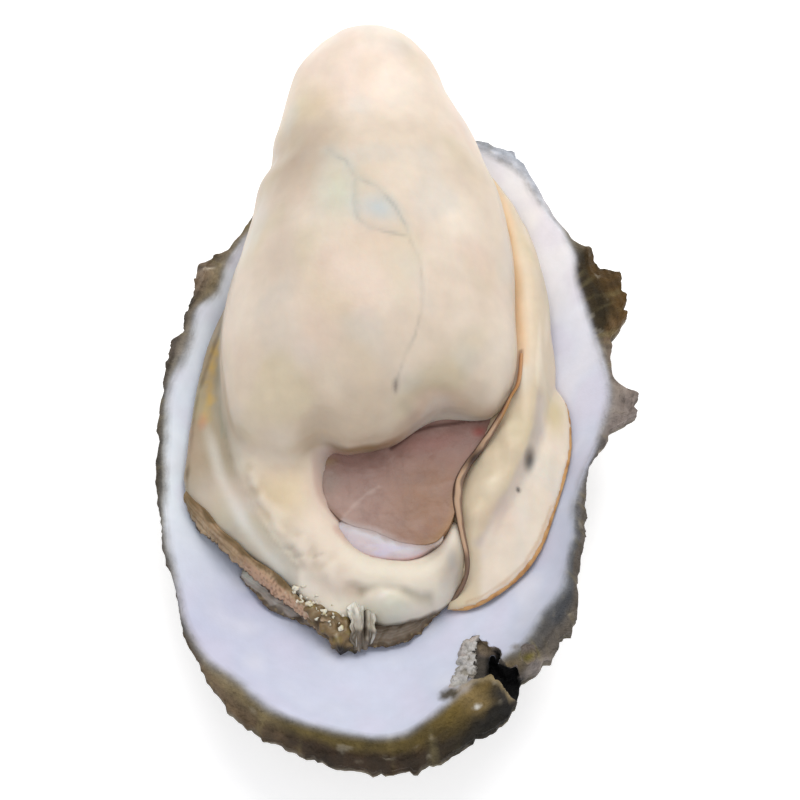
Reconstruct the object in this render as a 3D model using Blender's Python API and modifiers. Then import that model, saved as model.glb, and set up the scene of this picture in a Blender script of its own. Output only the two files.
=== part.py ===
"""An oyster on the half shell: the cupped lower valve with the opened animal lying in it.

The animal is built organ by organ, as it lies once the upper valve is gone: the plump body
mass, the shell-closing muscle with its white catch band, and the mantle folds at both sides.

Frame: +Z is up and the cup opens upwards. +Y points to the hinge end and +X to the right of
someone who looks down from the open end. The origin is on the flat attachment scar under the
cup. Sizes below are in millimetres, and MM turns them into Blender's metres.

Run with: blender --background --python part.py
"""

import math

import bmesh
import bpy
from mathutils import Matrix, Vector, noise

MM = 0.001

# ---------------------------------------------------------------- driving dimensions, in mm
GAP = 0.3  # left free between two organs that touch
SHELL_GAP = 0.5  # left free between an organ and the faceted inside of the cup

CUP_CENTRE = (-1.0, -4.0)  # deepest place inside the cup, seen from above
CUP_FLOOR = 5.0  # height of that deepest place
NACRE_TOP = 21.5  # height of the outer border of the white lining
RIM_EDGE = 19.8  # height of the sharp outer edge of the shell
RIM_THICKNESS = 2.6
CUP_POWER = 2.2  # how late the inside wall rises: 2 would be a parabola

SCAR_CENTRE = (-1.0, 7.0)  # middle of the flat scar that the shell rests on
SCAR_SHARE = 0.34  # size of the scar as a share of the shell
UNDERSIDE_POWER = 1.35

# Outline of the shell round CUP_CENTRE: bearing in degrees from +X, radius to the outer edge,
# and the width of the dark margin outside the white lining.
RIM = (
    (0, 36.6, 2.2),
    (20, 38.8, 1.4),
    (40, 46.0, 2.4),
    (56, 50.2, 1.6),
    (66, 57.0, 2.0),
    (78, 62.0, 3.4),
    (92, 64.2, 5.0),
    (108, 57.4, 4.0),
    (123, 48.4, 2.5),
    (145, 43.2, 2.8),
    (170, 39.2, 1.1),
    (195, 39.8, 0.9),
    (213, 43.6, 0.9),
    (230, 50.4, 2.4),
    (250, 57.0, 4.3),
    (271, 59.4, 5.7),
    (289, 53.2, 7.6),
    (306, 45.6, 5.2),
    (322, 38.6, 2.6),
    (340, 33.0, 1.2),
)
# Growth spurs on the edge: bearing, half angle and how far each one sticks out.
SPURS = (
    (34.0, 10.0, 4.6),
    (46.0, 6.0, 1.6),
    (6.0, 7.5, 5.6),
    (70.0, 6.0, 2.2),
    (135.0, 10.0, 2.4),
    (157.0, 4.0, 1.2),
    (286.0, 7.0, 1.2),
)
FLUTE_DEPTH = 0.7  # ripple of the outer edge
RIM_WAVE = 0.9  # how far the rim wanders up and down
HINGE_LIFT = 1.8  # how far the rim rises at the hinge end
HINGE_BEARING = 92.0
GROWTH_STEP = 0.9  # height of one growth step on the underside
GROWTH_STEPS = 6

# The break in the margin, as the corners of the piece that is missing, and its lowest height.
BREAK_CORNERS = ((11.8, -39.8), (15.2, -43.6), (17.6, -45.4), (18.6, -49.0), (15.2, -49.4), (11.4, -47.8))
BREAK_FLOOR = 15.4

SHELL_SEGMENTS = 96
SHELL_RINGS = 26

# Stations of the organs, from one end to the other: x, y and z of the middle line, half
# width, height above it, depth below it, and the roll about it in degrees.
BODY_STATIONS = (
    (-4.5, -11.0, 26.0, 19.0, 4.5, 7.0, 0),
    (-5.2, -4.0, 25.0, 22.6, 10.5, 12.0, 0),
    (-5.2, 5.0, 25.0, 24.6, 15.5, 14.0, 0),
    (-4.9, 14.0, 25.0, 24.4, 17.0, 14.0, 0),
    (-4.0, 23.0, 25.2, 23.3, 17.0, 13.0, 0),
    (-3.7, 32.0, 26.0, 22.0, 15.8, 11.0, 0),
    (-4.2, 40.0, 27.0, 20.4, 13.6, 9.0, 0),
    (-4.9, 48.0, 28.2, 17.4, 11.2, 7.0, 0),
    (-5.6, 56.0, 29.2, 14.4, 10.6, 6.2, 0),
    (-5.8, 63.0, 30.0, 12.6, 10.0, 6.0, 0),
    (-5.8, 70.0, 30.0, 11.2, 9.0, 6.0, 0),
)
BODY_END_STATIONS = (
    (-15.5, 8.0, 26.0, 11.5, 7.0, 14.0, 0),
    (-18.4, -3.0, 22.0, 9.8, 7.0, 13.0, 0),
    (-19.0, -13.0, 17.8, 8.0, 6.0, 11.0, 0),
    (-15.6, -22.0, 14.8, 7.2, 5.2, 10.0, 0),
    (-8.6, -28.6, 13.2, 5.9, 5.2, 10.0, 0),
    (-1.0, -30.6, 12.8, 5.2, 5.2, 10.0, 0),
    (5.0, -29.6, 13.2, 4.4, 5.0, 10.0, 0),
    (8.2, -25.8, 14.5, 3.2, 4.0, 10.0, 0),
)
BODY_BLEND = 1.0  # size of the mesh that melts the two into one
BODY_TRIANGLES = 2800
MUSCLE_CENTRE = (-0.5, -15.5)
MUSCLE_TOP = 20.6
MUSCLE_RADII = (
    (0, 9.6),
    (20, 12.6),
    (38, 18.4),
    (60, 15.0),
    (90, 11.0),
    (125, 11.0),
    (155, 12.6),
    (180, 11.8),
    (212, 9.6),
    (245, 7.4),
    (285, 8.9),
    (312, 10.2),
    (338, 9.4),
)
CATCH_STATIONS = (
    (-11.0, -20.4, 17.5, 0.9, 1.2, 10.0, 0),
    (-8.6, -23.4, 17.4, 1.7, 1.4, 10.0, 0),
    (-3.2, -25.2, 17.2, 1.9, 1.5, 10.0, 0),
    (2.2, -26.0, 17.2, 1.8, 1.5, 10.0, 0),
    (7.4, -24.6, 17.6, 0.9, 1.2, 10.0, 0),
)
LEFT_FOLD_STATIONS = (
    (-27.2, 22.0, 22.5, 1.4, 1.2, 3.0, 0),
    (-30.0, 12.0, 21.0, 2.2, 1.8, 3.5, 0),
    (-31.2, 2.0, 20.6, 3.0, 1.8, 4.0, 0),
    (-31.2, -8.0, 20.4, 4.0, 1.8, 4.0, 0),
    (-29.0, -17.0, 19.6, 5.0, 1.8, 4.0, 0),
    (-24.0, -23.4, 17.6, 4.6, 1.8, 3.0, 0),
    (-19.0, -28.4, 15.8, 4.0, 1.8, 1.6, 0),
    (-13.4, -33.2, 14.9, 3.4, 1.6, 1.2, 0),
    (-7.4, -38.4, 14.9, 2.8, 1.4, 1.0, 0),
)
RIGHT_FOLD_STATIONS = (
    (17.0, 47.0, 24.6, 1.2, 1.2, 2.0, 30),
    (19.6, 37.0, 23.6, 2.6, 2.2, 4.0, 40),
    (21.4, 27.0, 22.4, 3.4, 2.6, 6.0, 42),
    (22.0, 16.0, 21.8, 3.8, 2.8, 6.0, 42),
    (21.1, 6.0, 21.4, 4.2, 2.8, 8.0, 40),
    (19.4, -3.0, 21.2, 5.2, 2.8, 9.0, 34),
    (16.4, -11.0, 20.4, 4.8, 2.8, 9.0, 28),
    (13.4, -18.0, 18.8, 3.9, 2.8, 8.0, 24),
    (12.0, -24.0, 17.0, 2.8, 2.4, 6.0, 16),
    (10.6, -30.5, 14.0, 1.6, 1.6, 3.0, 0),
)
# These two lie on the cup, so their heights are measured from its inside.
LOBE_STATIONS = (
    (25.2, 5.0, 0.8, 1.0, 1.4, 0.8, 0),
    (25.4, -1.0, 0.8, 2.3, 1.8, 0.8, 0),
    (24.2, -8.0, 0.8, 3.7, 2.2, 0.8, 0),
    (22.3, -15.0, 0.8, 4.6, 2.4, 0.8, 0),
    (19.4, -21.5, 0.8, 5.1, 2.4, 0.8, 0),
    (16.0, -26.4, 0.8, 4.6, 2.2, 0.8, 0),
    (12.0, -29.6, 0.8, 3.2, 1.8, 0.8, 0),
    (7.8, -31.8, 0.8, 1.2, 1.2, 0.8, 0),
)
LOWER_FOLD_STATIONS = (
    (-24.5, -27.5, 0.5, 1.2, 0.6, 0.5, 0),
    (-20.4, -32.0, 0.5, 2.6, 0.9, 0.5, 0),
    (-14.0, -35.4, 0.5, 3.0, 0.9, 0.5, 0),
    (-7.0, -37.4, 0.5, 3.2, 0.9, 0.5, 0),
    (-0.5, -37.2, 0.5, 3.2, 1.0, 0.5, 0),
    (4.4, -34.4, 0.5, 2.8, 1.0, 0.5, 0),
    (7.4, -31.0, 0.5, 1.2, 0.8, 0.5, 0),
)


# ------------------------------------------------------------------------------ small tools
def smooth_value(knots, values, place, period=None):
    """A smooth curve through values at knots (Catmull-Rom), closed if it has a period."""
    count = len(knots)

    def knot(i):
        if period is None:
            return knots[min(max(i, 0), count - 1)] + min(i, 0) + max(i - count + 1, 0)
        return knots[i % count] + period * (i // count)

    def value(i):
        if period is None:
            return values[min(max(i, 0), count - 1)]
        return values[i % count]

    start = -1 if period is not None else 0
    while start + 1 < count - (period is None) and knot(start + 1) <= place:
        start += 1
    start = min(start, count - 2) if period is None else start
    low, high = knot(start), knot(start + 1)
    span = high - low
    t = (place - low) / span
    slope_low = (value(start + 1) - value(start - 1)) / (knot(start + 1) - knot(start - 1)) * span
    slope_high = (value(start + 2) - value(start)) / (knot(start + 2) - knot(start)) * span
    return (
        (2 * t**3 - 3 * t**2 + 1) * value(start)
        + (t**3 - 2 * t**2 + t) * slope_low
        + (3 * t**2 - 2 * t**3) * value(start + 1)
        + (t**3 - t**2) * slope_high
    )


def around(table, bearing, column=1):
    """A column of a table of bearings, read at any bearing in degrees."""
    knots = [row[0] for row in table]
    return smooth_value(knots, [row[column] for row in table], bearing % 360, period=360)


def bearing_of(x, y, centre):
    return math.degrees(math.atan2(y - centre[1], x - centre[0])) % 360


def angle_between(a, b):
    return abs((a - b + 180) % 360 - 180)


def edge_radius(bearing):
    """Radius of the shell's outer edge round CUP_CENTRE, with its spurs and ripple."""
    radius = around(RIM, bearing)
    for spur, half_angle, height in SPURS:
        away = angle_between(bearing, spur) / half_angle
        if away < 1:
            radius += height * (1 - away) ** 1.3
    turn = math.radians(bearing)
    ripple = noise.noise(Vector((6 * math.cos(turn), 6 * math.sin(turn), 3.0)))
    return radius + FLUTE_DEPTH * ripple


def nacre_radius(bearing):
    return around(RIM, bearing) - around(RIM, bearing, 2)


def rim_lift(bearing):
    """How far the rim lies above its usual height: it wanders, and it rises at the hinge."""
    turn = math.radians(bearing)
    wave = noise.noise(Vector((1.3 * math.cos(turn), 1.3 * math.sin(turn), 11.0)))
    toward_hinge = max(0.0, math.cos(math.radians(bearing - HINGE_BEARING)))
    return RIM_WAVE * 2 * wave + HINGE_LIFT * toward_hinge**6


def cup_height(x, y):
    """Height of the inside of the cup above a place."""
    bearing = bearing_of(x, y, CUP_CENTRE)
    share = math.hypot(x - CUP_CENTRE[0], y - CUP_CENTRE[1]) / nacre_radius(bearing)
    wall = NACRE_TOP + rim_lift(bearing) - CUP_FLOOR
    return CUP_FLOOR + wall * min(share, 1.0) ** CUP_POWER


def sphere_mesh(segments, rings):
    """A ball to be shaped: each vertex with its turn in degrees and its way from top to bottom."""
    ball = bmesh.new()
    bmesh.ops.create_uvsphere(ball, u_segments=segments, v_segments=rings, radius=1.0)
    places = []
    for vertex in ball.verts:
        turn = math.degrees(math.atan2(vertex.co.y, vertex.co.x)) % 360
        way = math.acos(max(-1.0, min(1.0, vertex.co.z))) / math.pi
        places.append((vertex, turn, way))
    return ball, places


def object_from(name, ball, collection, material=None):
    bmesh.ops.recalc_face_normals(ball, faces=ball.faces)
    mesh = bpy.data.meshes.new(name)
    ball.to_mesh(mesh)
    ball.free()
    mesh.shade_smooth()
    if material:
        mesh.materials.append(material)
    made = bpy.data.objects.new(name, mesh)
    collection.objects.link(made)
    return made


def apply_modifiers(target):
    """Replaces a mesh by the one its modifiers make."""
    bpy.context.view_layer.update()
    graph = bpy.context.evaluated_depsgraph_get()
    finished = bpy.data.meshes.new_from_object(target.evaluated_get(graph))
    target.modifiers.clear()
    target.data = finished


def boolean(target, tool, operation):
    modifier = target.modifiers.new(operation.lower() + "_" + tool.name, "BOOLEAN")
    modifier.operation = operation
    modifier.solver = "EXACT"
    modifier.object = tool
    apply_modifiers(target)


def cut_clear(target, neighbours, helpers):
    """Takes room for each neighbour out of a body, GAP wider than the neighbour all round."""
    for neighbour in neighbours:
        room = bpy.data.objects.new("room_for_" + neighbour.name, neighbour.data.copy())
        helpers.objects.link(room)
        room.hide_render = True
        room.display_type = "WIRE"
        swell = room.modifiers.new("swell", "DISPLACE")
        swell.strength = GAP * 1.15 * MM
        swell.mid_level = 0.0
        apply_modifiers(room)
        boolean(target, room, "DIFFERENCE")


def drop_scraps(target):
    """Keeps only the largest of the loose pieces that a cut can leave."""
    body = bmesh.new()
    body.from_mesh(target.data)
    left = set(body.verts)
    pieces = []
    while left:
        front = [left.pop()]
        piece = set(front)
        while front:
            for edge in front.pop().link_edges:
                for vertex in edge.verts:
                    if vertex in left:
                        left.discard(vertex)
                        piece.add(vertex)
                        front.append(vertex)
        pieces.append(piece)
    pieces.sort(key=len)
    for piece in pieces[:-1]:
        bmesh.ops.delete(body, geom=list(piece), context="VERTS")
    body.to_mesh(target.data)
    body.free()


def new_material(name, red, green, blue, roughness):
    material = bpy.data.materials.new(name)
    material.use_nodes = True
    shader = material.node_tree.nodes["Principled BSDF"]
    shader.inputs["Base Color"].default_value = (red, green, blue, 1.0)
    shader.inputs["Roughness"].default_value = roughness
    shader.inputs["Metallic"].default_value = 0.0
    material.diffuse_color = (red, green, blue, 1.0)
    return material


# -------------------------------------------------------------------------------- the shell
def underside_height(x, y, edge):
    """Height of the outside of the shell: flat on the scar, then rising in growth steps."""
    reach = math.hypot(edge.x - SCAR_CENTRE[0], edge.y - SCAR_CENTRE[1])
    share = math.hypot(x - SCAR_CENTRE[0], y - SCAR_CENTRE[1]) / reach
    rise = max(0.0, (share - SCAR_SHARE) / (1 - SCAR_SHARE))
    height = (edge.z - RIM_THICKNESS) * rise**UNDERSIDE_POWER
    wander = noise.noise(Vector((x / 14, y / 14, 7.0)))
    step = (GROWTH_STEPS * rise + 0.6 * wander) % 1.0
    return max(0.0, height - GROWTH_STEP * step * min(1.0, 4 * rise))


def make_shell(collection, helpers):
    material = new_material("shell_chalk", 0.42, 0.39, 0.33, 0.75)
    ball, places = sphere_mesh(SHELL_SEGMENTS, SHELL_RINGS)
    for vertex, turn, way in places:
        radius = edge_radius(turn)
        lining = nacre_radius(turn)
        lift = rim_lift(turn)
        toward = Vector((math.cos(math.radians(turn)), math.sin(math.radians(turn))))
        edge = (Vector(CUP_CENTRE) + toward * radius).to_3d()
        edge.z = RIM_EDGE + lift
        if way <= 0.5:
            # The ball's upper half becomes the inside, with the dark margin in its last tenth.
            share = way / 0.5
            if share <= 0.9:
                place = Vector(CUP_CENTRE) + toward * lining * share / 0.9
                height = cup_height(place.x, place.y)
            else:
                part = (share - 0.9) / 0.1
                place = Vector(CUP_CENTRE) + toward * (lining + (radius - lining) * part)
                height = NACRE_TOP + lift + (RIM_EDGE - NACRE_TOP) * part**1.6
        else:
            share = (1 - way) / 0.5
            place = Vector(SCAR_CENTRE).lerp(edge.xy, share)
            height = underside_height(place.x, place.y, edge)
        vertex.co = Vector((place.x, place.y, height)) * MM
    shell = object_from("shell", ball, collection, material)

    cutter = bmesh.new()
    low = [cutter.verts.new(Vector((x, y, BREAK_FLOOR)) * MM) for x, y in BREAK_CORNERS]
    floor = cutter.faces.new(low)
    raised = bmesh.ops.extrude_face_region(cutter, geom=[floor])["geom"]
    top = [item for item in raised if isinstance(item, bmesh.types.BMVert)]
    bmesh.ops.translate(cutter, verts=top, vec=Vector((0, 0, 20 * MM)))
    chip = object_from("missing_piece", cutter, helpers)
    chip.hide_render = True
    chip.display_type = "WIRE"
    boolean(shell, chip, "DIFFERENCE")
    drop_scraps(shell)
    return shell


# --------------------------------------------------------------------------------- the meat
def make_band(name, stations, segments, rings, collection, material, ends=(0.12, 0.12), on_cup=False):
    """A rounded body along its stations. With on_cup its heights start at the cup's inside."""
    ball, places = sphere_mesh(segments, rings)
    knots = [i / (len(stations) - 1) for i in range(len(stations))]
    columns = list(zip(*stations))

    def station(column, along):
        return smooth_value(knots, columns[column], min(max(along, 0.0), 1.0))

    for vertex, turn, way in places:
        along = (1 - math.cos(math.pi * way)) / 2
        x, y, z, half_width, above, below, roll = (station(i, along) for i in range(7))
        ahead = Vector([station(i, along + 0.01) - station(i, along - 0.01) for i in (0, 1)])
        ahead.normalize()
        side = Vector((ahead.y, -ahead.x, 0.0))
        rise = Vector((0.0, 0.0, 1.0))
        if roll:
            tilt = Matrix.Rotation(math.radians(roll), 3, Vector((ahead.x, ahead.y, 0.0)))
            side, rise = tilt @ side, tilt @ rise
        size = 1.0
        for share, length in zip((along, 1 - along), ends):
            if share < length:
                size *= math.sqrt(max(0.0, 1 - (1 - share / length) ** 2))
        across = math.cos(math.radians(turn)) * half_width * size
        upward = math.sin(math.radians(turn)) * size
        upward *= above if upward > 0 else below
        place = Vector((x, y, z)) + side * across + rise * upward
        inside = cup_height(place.x, place.y) + SHELL_GAP
        if on_cup:
            place.z += inside
        place.z = max(place.z, inside)
        vertex.co = place * MM
    return object_from(name, ball, collection, material)


def melt(target, voxel, triangles):
    """Turns joined bodies into one smooth body, kept clear of the cup."""
    remesh = target.modifiers.new("remesh", "REMESH")
    remesh.mode = "VOXEL"
    remesh.voxel_size = voxel * MM
    smooth = target.modifiers.new("smooth", "SMOOTH")
    smooth.factor = 0.5
    smooth.iterations = 10
    apply_modifiers(target)
    decimate = target.modifiers.new("decimate", "DECIMATE")
    decimate.ratio = triangles / (2 * len(target.data.polygons))
    apply_modifiers(target)
    for vertex in target.data.vertices:
        x, y, z = vertex.co / MM
        vertex.co.z = max(z, cup_height(x, y) + SHELL_GAP) * MM
    target.data.shade_smooth()


def make_muscle(collection):
    """The shell-closing muscle: a short pillar with a nearly flat cut top."""
    material = new_material("adductor_flesh", 0.36, 0.22, 0.19, 0.35)
    ball, places = sphere_mesh(28, 14)
    for vertex, turn, way in places:
        radius = around(MUSCLE_RADII, turn)
        toward = Vector((math.cos(math.radians(turn)), math.sin(math.radians(turn))))
        share = min(1.0, 1.25 * math.sin(math.pi * way))
        place = Vector(MUSCLE_CENTRE) + toward * radius * share
        top = MUSCLE_TOP + 0.06 * (place.y - MUSCLE_CENTRE[1]) - 1.6 * share**6
        bottom = cup_height(place.x, place.y) + SHELL_GAP
        depth = min(1.0, max(0.0, (way - 0.3) / 0.4))
        vertex.co = Vector((place.x, place.y, top + (bottom - top) * depth)) * MM
    return object_from("adductor_muscle", ball, collection, material)


def make_meat(collection, helpers):
    cream = new_material("body_flesh", 0.70, 0.60, 0.49, 0.35)
    white = new_material("catch_flesh", 0.60, 0.55, 0.54, 0.3)
    fold = new_material("mantle_flesh", 0.66, 0.56, 0.42, 0.35)
    lobe_flesh = new_material("lobe_flesh", 0.76, 0.68, 0.58, 0.35)
    grey = new_material("lower_mantle_flesh", 0.26, 0.22, 0.17, 0.35)

    muscle = make_muscle(collection)
    catch = make_band("catch_muscle", CATCH_STATIONS, 12, 16, collection, white)
    cut_clear(catch, [muscle], helpers)
    drop_scraps(catch)

    body = make_band("body_mass", BODY_STATIONS, 40, 36, collection, cream, ends=(0.1, 0.15))
    body_end = make_band("body_end", BODY_END_STATIONS, 20, 28, helpers, cream)
    body_end.hide_render = True
    boolean(body, body_end, "UNION")
    melt(body, BODY_BLEND, BODY_TRIANGLES)
    cut_clear(body, [muscle, catch], helpers)
    drop_scraps(body)

    right = make_band("mantle_right", RIGHT_FOLD_STATIONS, 16, 36, collection, fold)
    cut_clear(right, [body, muscle, catch], helpers)
    drop_scraps(right)
    left = make_band("mantle_left", LEFT_FOLD_STATIONS, 16, 36, collection, fold)
    cut_clear(left, [body], helpers)
    drop_scraps(left)
    lobe = make_band("mantle_lobe", LOBE_STATIONS, 14, 28, collection, lobe_flesh, on_cup=True)
    cut_clear(lobe, [body, right], helpers)
    drop_scraps(lobe)
    lower = make_band("mantle_lower", LOWER_FOLD_STATIONS, 12, 26, collection, grey, on_cup=True)
    cut_clear(lower, [body, left, right, lobe], helpers)
    drop_scraps(lower)


def main():
    for old in list(bpy.data.objects):
        bpy.data.objects.remove(old, do_unlink=True)
    collection = bpy.data.collections.new("oyster_on_half_shell")
    helpers = bpy.data.collections.new("cutters")
    bpy.context.scene.collection.children.link(collection)
    bpy.context.scene.collection.children.link(helpers)
    make_shell(collection, helpers)
    make_meat(collection, helpers)


main()
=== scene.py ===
# %% [markdown]
# # An oyster on the half shell
# This lesson dresses the plain CAD solids of an opened oyster with their real surfaces: the
# ragged, layered shell with its glossy white lining, and the moist animal that lies in it.
# The CAD model is loaded first and never moved. It gives every place, and each new piece
# stands for one of its solids, so the dressed oyster keeps the size of the plain one.

# %% Load the CAD model
import math

import bpy
import numpy as np
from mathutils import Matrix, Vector, noise


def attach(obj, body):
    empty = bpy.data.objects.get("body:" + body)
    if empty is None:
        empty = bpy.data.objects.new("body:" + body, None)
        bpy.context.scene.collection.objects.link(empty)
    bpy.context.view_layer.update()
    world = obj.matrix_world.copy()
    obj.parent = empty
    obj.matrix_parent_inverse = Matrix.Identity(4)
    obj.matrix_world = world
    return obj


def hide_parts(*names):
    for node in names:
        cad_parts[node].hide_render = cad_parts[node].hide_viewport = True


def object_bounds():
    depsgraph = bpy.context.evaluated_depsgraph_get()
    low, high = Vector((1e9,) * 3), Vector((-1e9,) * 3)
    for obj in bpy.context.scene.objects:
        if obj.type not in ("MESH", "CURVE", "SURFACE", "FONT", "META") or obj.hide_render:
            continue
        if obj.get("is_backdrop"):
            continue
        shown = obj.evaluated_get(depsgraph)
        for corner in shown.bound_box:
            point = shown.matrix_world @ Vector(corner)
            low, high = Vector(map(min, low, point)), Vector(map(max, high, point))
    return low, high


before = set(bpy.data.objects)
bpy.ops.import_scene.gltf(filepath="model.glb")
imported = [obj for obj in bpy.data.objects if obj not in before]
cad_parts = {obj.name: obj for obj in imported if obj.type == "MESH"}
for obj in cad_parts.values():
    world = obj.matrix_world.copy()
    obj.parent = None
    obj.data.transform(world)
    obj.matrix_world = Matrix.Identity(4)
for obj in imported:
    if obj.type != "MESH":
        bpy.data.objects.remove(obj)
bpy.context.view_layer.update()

MM = 0.001
print("CAD solids:", ", ".join(sorted(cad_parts)))

# %% [markdown]
# ## Camera
# The oyster is seen from its open end, from 60 degrees above the table, with a fairly long
# lens, so that the plump body at the back is not drawn much smaller than the front.
# The camera could be aimed by a constraint, but two numbers are enough, since it only tips
# forward about X.

# %% Camera
CAMERA_TARGET = Vector((0.0, 0.0, 22 * MM))
CAMERA_DISTANCE = 311.67 * MM
CAMERA_HEIGHT_ANGLE = math.radians(60)
away = Vector((0.0, -math.cos(CAMERA_HEIGHT_ANGLE), math.sin(CAMERA_HEIGHT_ANGLE)))
bpy.ops.object.camera_add(
    location=CAMERA_TARGET + CAMERA_DISTANCE * away,
    rotation=(math.pi / 2 - CAMERA_HEIGHT_ANGLE, 0.0, 0.0),
)
camera = bpy.context.object
camera.name = "camera"
camera.data.lens = 85
camera.data.sensor_width = 36
camera.data.clip_start = 0.01
bpy.context.scene.camera = camera
print("camera at", [round(v, 4) for v in camera.location])

# %% [markdown]
# ## Colours and nodes
# Colours are written as the hex values that a designer reads off a screen. Blender's shaders
# work with linear light, so one function turns one into the other. A second small function
# fills the inputs of a node, and links an input that is given as a socket. A third adds a node
# of any kind with its settings and inputs.

# %% Colours and nodes
def colour(hex_value):
    """An sRGB hex colour as linear red, green, blue and alpha."""
    channels = [int(hex_value[i : i + 2], 16) / 255 for i in (1, 3, 5)]
    linear = [c / 12.92 if c <= 0.04045 else ((c + 0.055) / 1.055) ** 2.4 for c in channels]
    return (*linear, 1.0)


def fill_inputs(material, node, inputs):
    """Sets inputs by name or number, and links those whose value is a socket."""
    for name, value in inputs.items():
        if isinstance(value, bpy.types.NodeSocket):
            material.node_tree.links.new(value, node.inputs[name])
        else:
            node.inputs[name].default_value = value


def add_node(material, kind, inputs=None, **settings):
    """Adds a node with its settings and inputs."""
    node = material.node_tree.nodes.new("ShaderNode" + kind)
    for name, value in settings.items():
        setattr(node, name, value)
    fill_inputs(material, node, inputs or {})
    return node


def new_material(name):
    """A material with an empty node tree apart from its Principled shader."""
    material = bpy.data.materials.new(name)
    material.use_nodes = True
    return material, material.node_tree.nodes["Principled BSDF"]


print("peach in linear light:", [round(c, 3) for c in colour("#dcccb9")])

# %% [markdown]
# ## Light and floor
# Shellfish looks best in broad, soft light, so that its wet skin shows only a few small
# highlights. One large area light hangs above and behind the oyster, which makes the raised
# tip the brightest place, and a weaker one in front opens the shadows. The world adds even
# light from all round. The floor is a large sheet of pale paper on a light table, so it glows a
# little and the shadows on it stay faint.

# %% Light and floor
WORLD_STRENGTH = 0.54
LIGHTS = (
    # name, place in mm, width in mm, watts, colour
    ("back_light", (40, 300, 580), 560, 2.3, "#fffcf8"),
    ("front_light", (40, -420, 500), 460, 0.86, "#f6f8ff"),
)
scene = bpy.context.scene
scene.view_settings.view_transform = "Standard"
scene.world = bpy.data.worlds.new("soft_room")
scene.world.use_nodes = True
room = scene.world.node_tree.nodes["Background"]
fill_inputs(scene.world, room, {"Color": colour("#fbfcff"), "Strength": WORLD_STRENGTH})
for name, place, width, watts, tone in LIGHTS:
    bpy.ops.object.light_add(type="AREA", location=Vector(place) * MM)
    light = bpy.context.object
    light.name = name
    light.data.shape = "DISK"
    light.data.size = width * MM
    light.data.energy = watts
    light.data.color = colour(tone)[:3]
    light.rotation_euler = (CAMERA_TARGET - light.location).to_track_quat("-Z", "Y").to_euler()
bpy.ops.mesh.primitive_plane_add(size=3.0, location=(0.0, 0.0, 0.0))
floor = bpy.context.object
floor.name = "floor"
paper, shader = new_material("studio_paper")
where = add_node(paper, "TexCoord")
grain = add_node(paper, "TexNoise", {"Vector": where.outputs["Object"], "Scale": 900.0})
shade = add_node(paper, "MapRange", {0: grain.outputs["Fac"], 3: 0.93, 4: 0.96})
fill_inputs(paper, shader, {
    "Base Color": shade.outputs[0],
    "Emission Color": colour("#ffffff"),
    "Emission Strength": 0.4,
    "Roughness": 0.9,
})
floor.data.materials.append(paper)
floor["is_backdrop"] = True
print("lights:", ", ".join(name for name, *_ in LIGHTS))

# %% [markdown]
# ## Tools for shaping
# Most of this animal is soft, with no flat face or straight edge, so its pieces start as
# Blender's ball or grid and every point is then put in its place by a rule. NumPy moves all
# the points of a mesh at once, which keeps a fine mesh quick. All sizes are in millimetres.

# %% Tools for shaping
def select_only(piece):
    bpy.ops.object.select_all(action="DESELECT")
    piece.select_set(True)
    bpy.context.view_layer.objects.active = piece


def read_points(piece):
    """The points of a mesh, in mm."""
    points = np.empty(len(piece.data.vertices) * 3, np.float32)
    piece.data.vertices.foreach_get("co", points)
    return points.reshape(-1, 3).astype(float) / MM


def write_points(piece, points):
    piece.data.vertices.foreach_set("co", (points * MM).astype(np.float32).ravel())
    piece.data.update()


def read_normals(piece):
    normals = np.empty(len(piece.data.vertices) * 3, np.float32)
    piece.data.vertex_normals.foreach_get("vector", normals)
    return normals.reshape(-1, 3).astype(float)


def store_value(piece, name, values):
    """Keeps a number for each point, which a later step or a material reads."""
    layer = piece.data.attributes.new(name, "FLOAT", "POINT")
    layer.data.foreach_set("value", np.asarray(values, np.float32))


def read_value(piece, name):
    values = np.empty(len(piece.data.vertices), np.float32)
    piece.data.attributes[name].data.foreach_get("value", values)
    return values.astype(float)


def add_ball(name, segments, rings):
    """A ball to be shaped, and its points as on a radius of 1."""
    bpy.ops.object.select_all(action="DESELECT")
    bpy.ops.mesh.primitive_uv_sphere_add(segments=segments, ring_count=rings, radius=1.0)
    ball = bpy.context.object
    ball.name = name
    return ball, read_points(ball) * MM


def bearing_and_way(ball_points):
    """Bearing in degrees of each point, and its share of the way from the top to the bottom."""
    bearing = np.degrees(np.arctan2(ball_points[:, 1], ball_points[:, 0])) % 360
    return bearing, np.arccos(np.clip(ball_points[:, 2], -1, 1)) / math.pi


def level_points(*columns):
    """Points at height 0, from an x and a y for each or from both in one array."""
    flat = np.column_stack(columns)
    return np.column_stack([flat, np.zeros(len(flat))])


def finish_with(piece, kind, **settings):
    """Adds a modifier with its settings and applies it."""
    modifier = piece.modifiers.new(kind.lower(), kind)
    for name, value in settings.items():
        setattr(modifier, name, value)
    select_only(piece)
    bpy.ops.object.modifier_apply(modifier=modifier.name)


def face_outwards(piece):
    """Turns every face of a closed mesh outwards."""
    select_only(piece)
    bpy.ops.object.mode_set(mode="EDIT")
    bpy.ops.mesh.select_all(action="SELECT")
    bpy.ops.mesh.normals_make_consistent(inside=False)
    bpy.ops.object.mode_set(mode="OBJECT")


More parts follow.
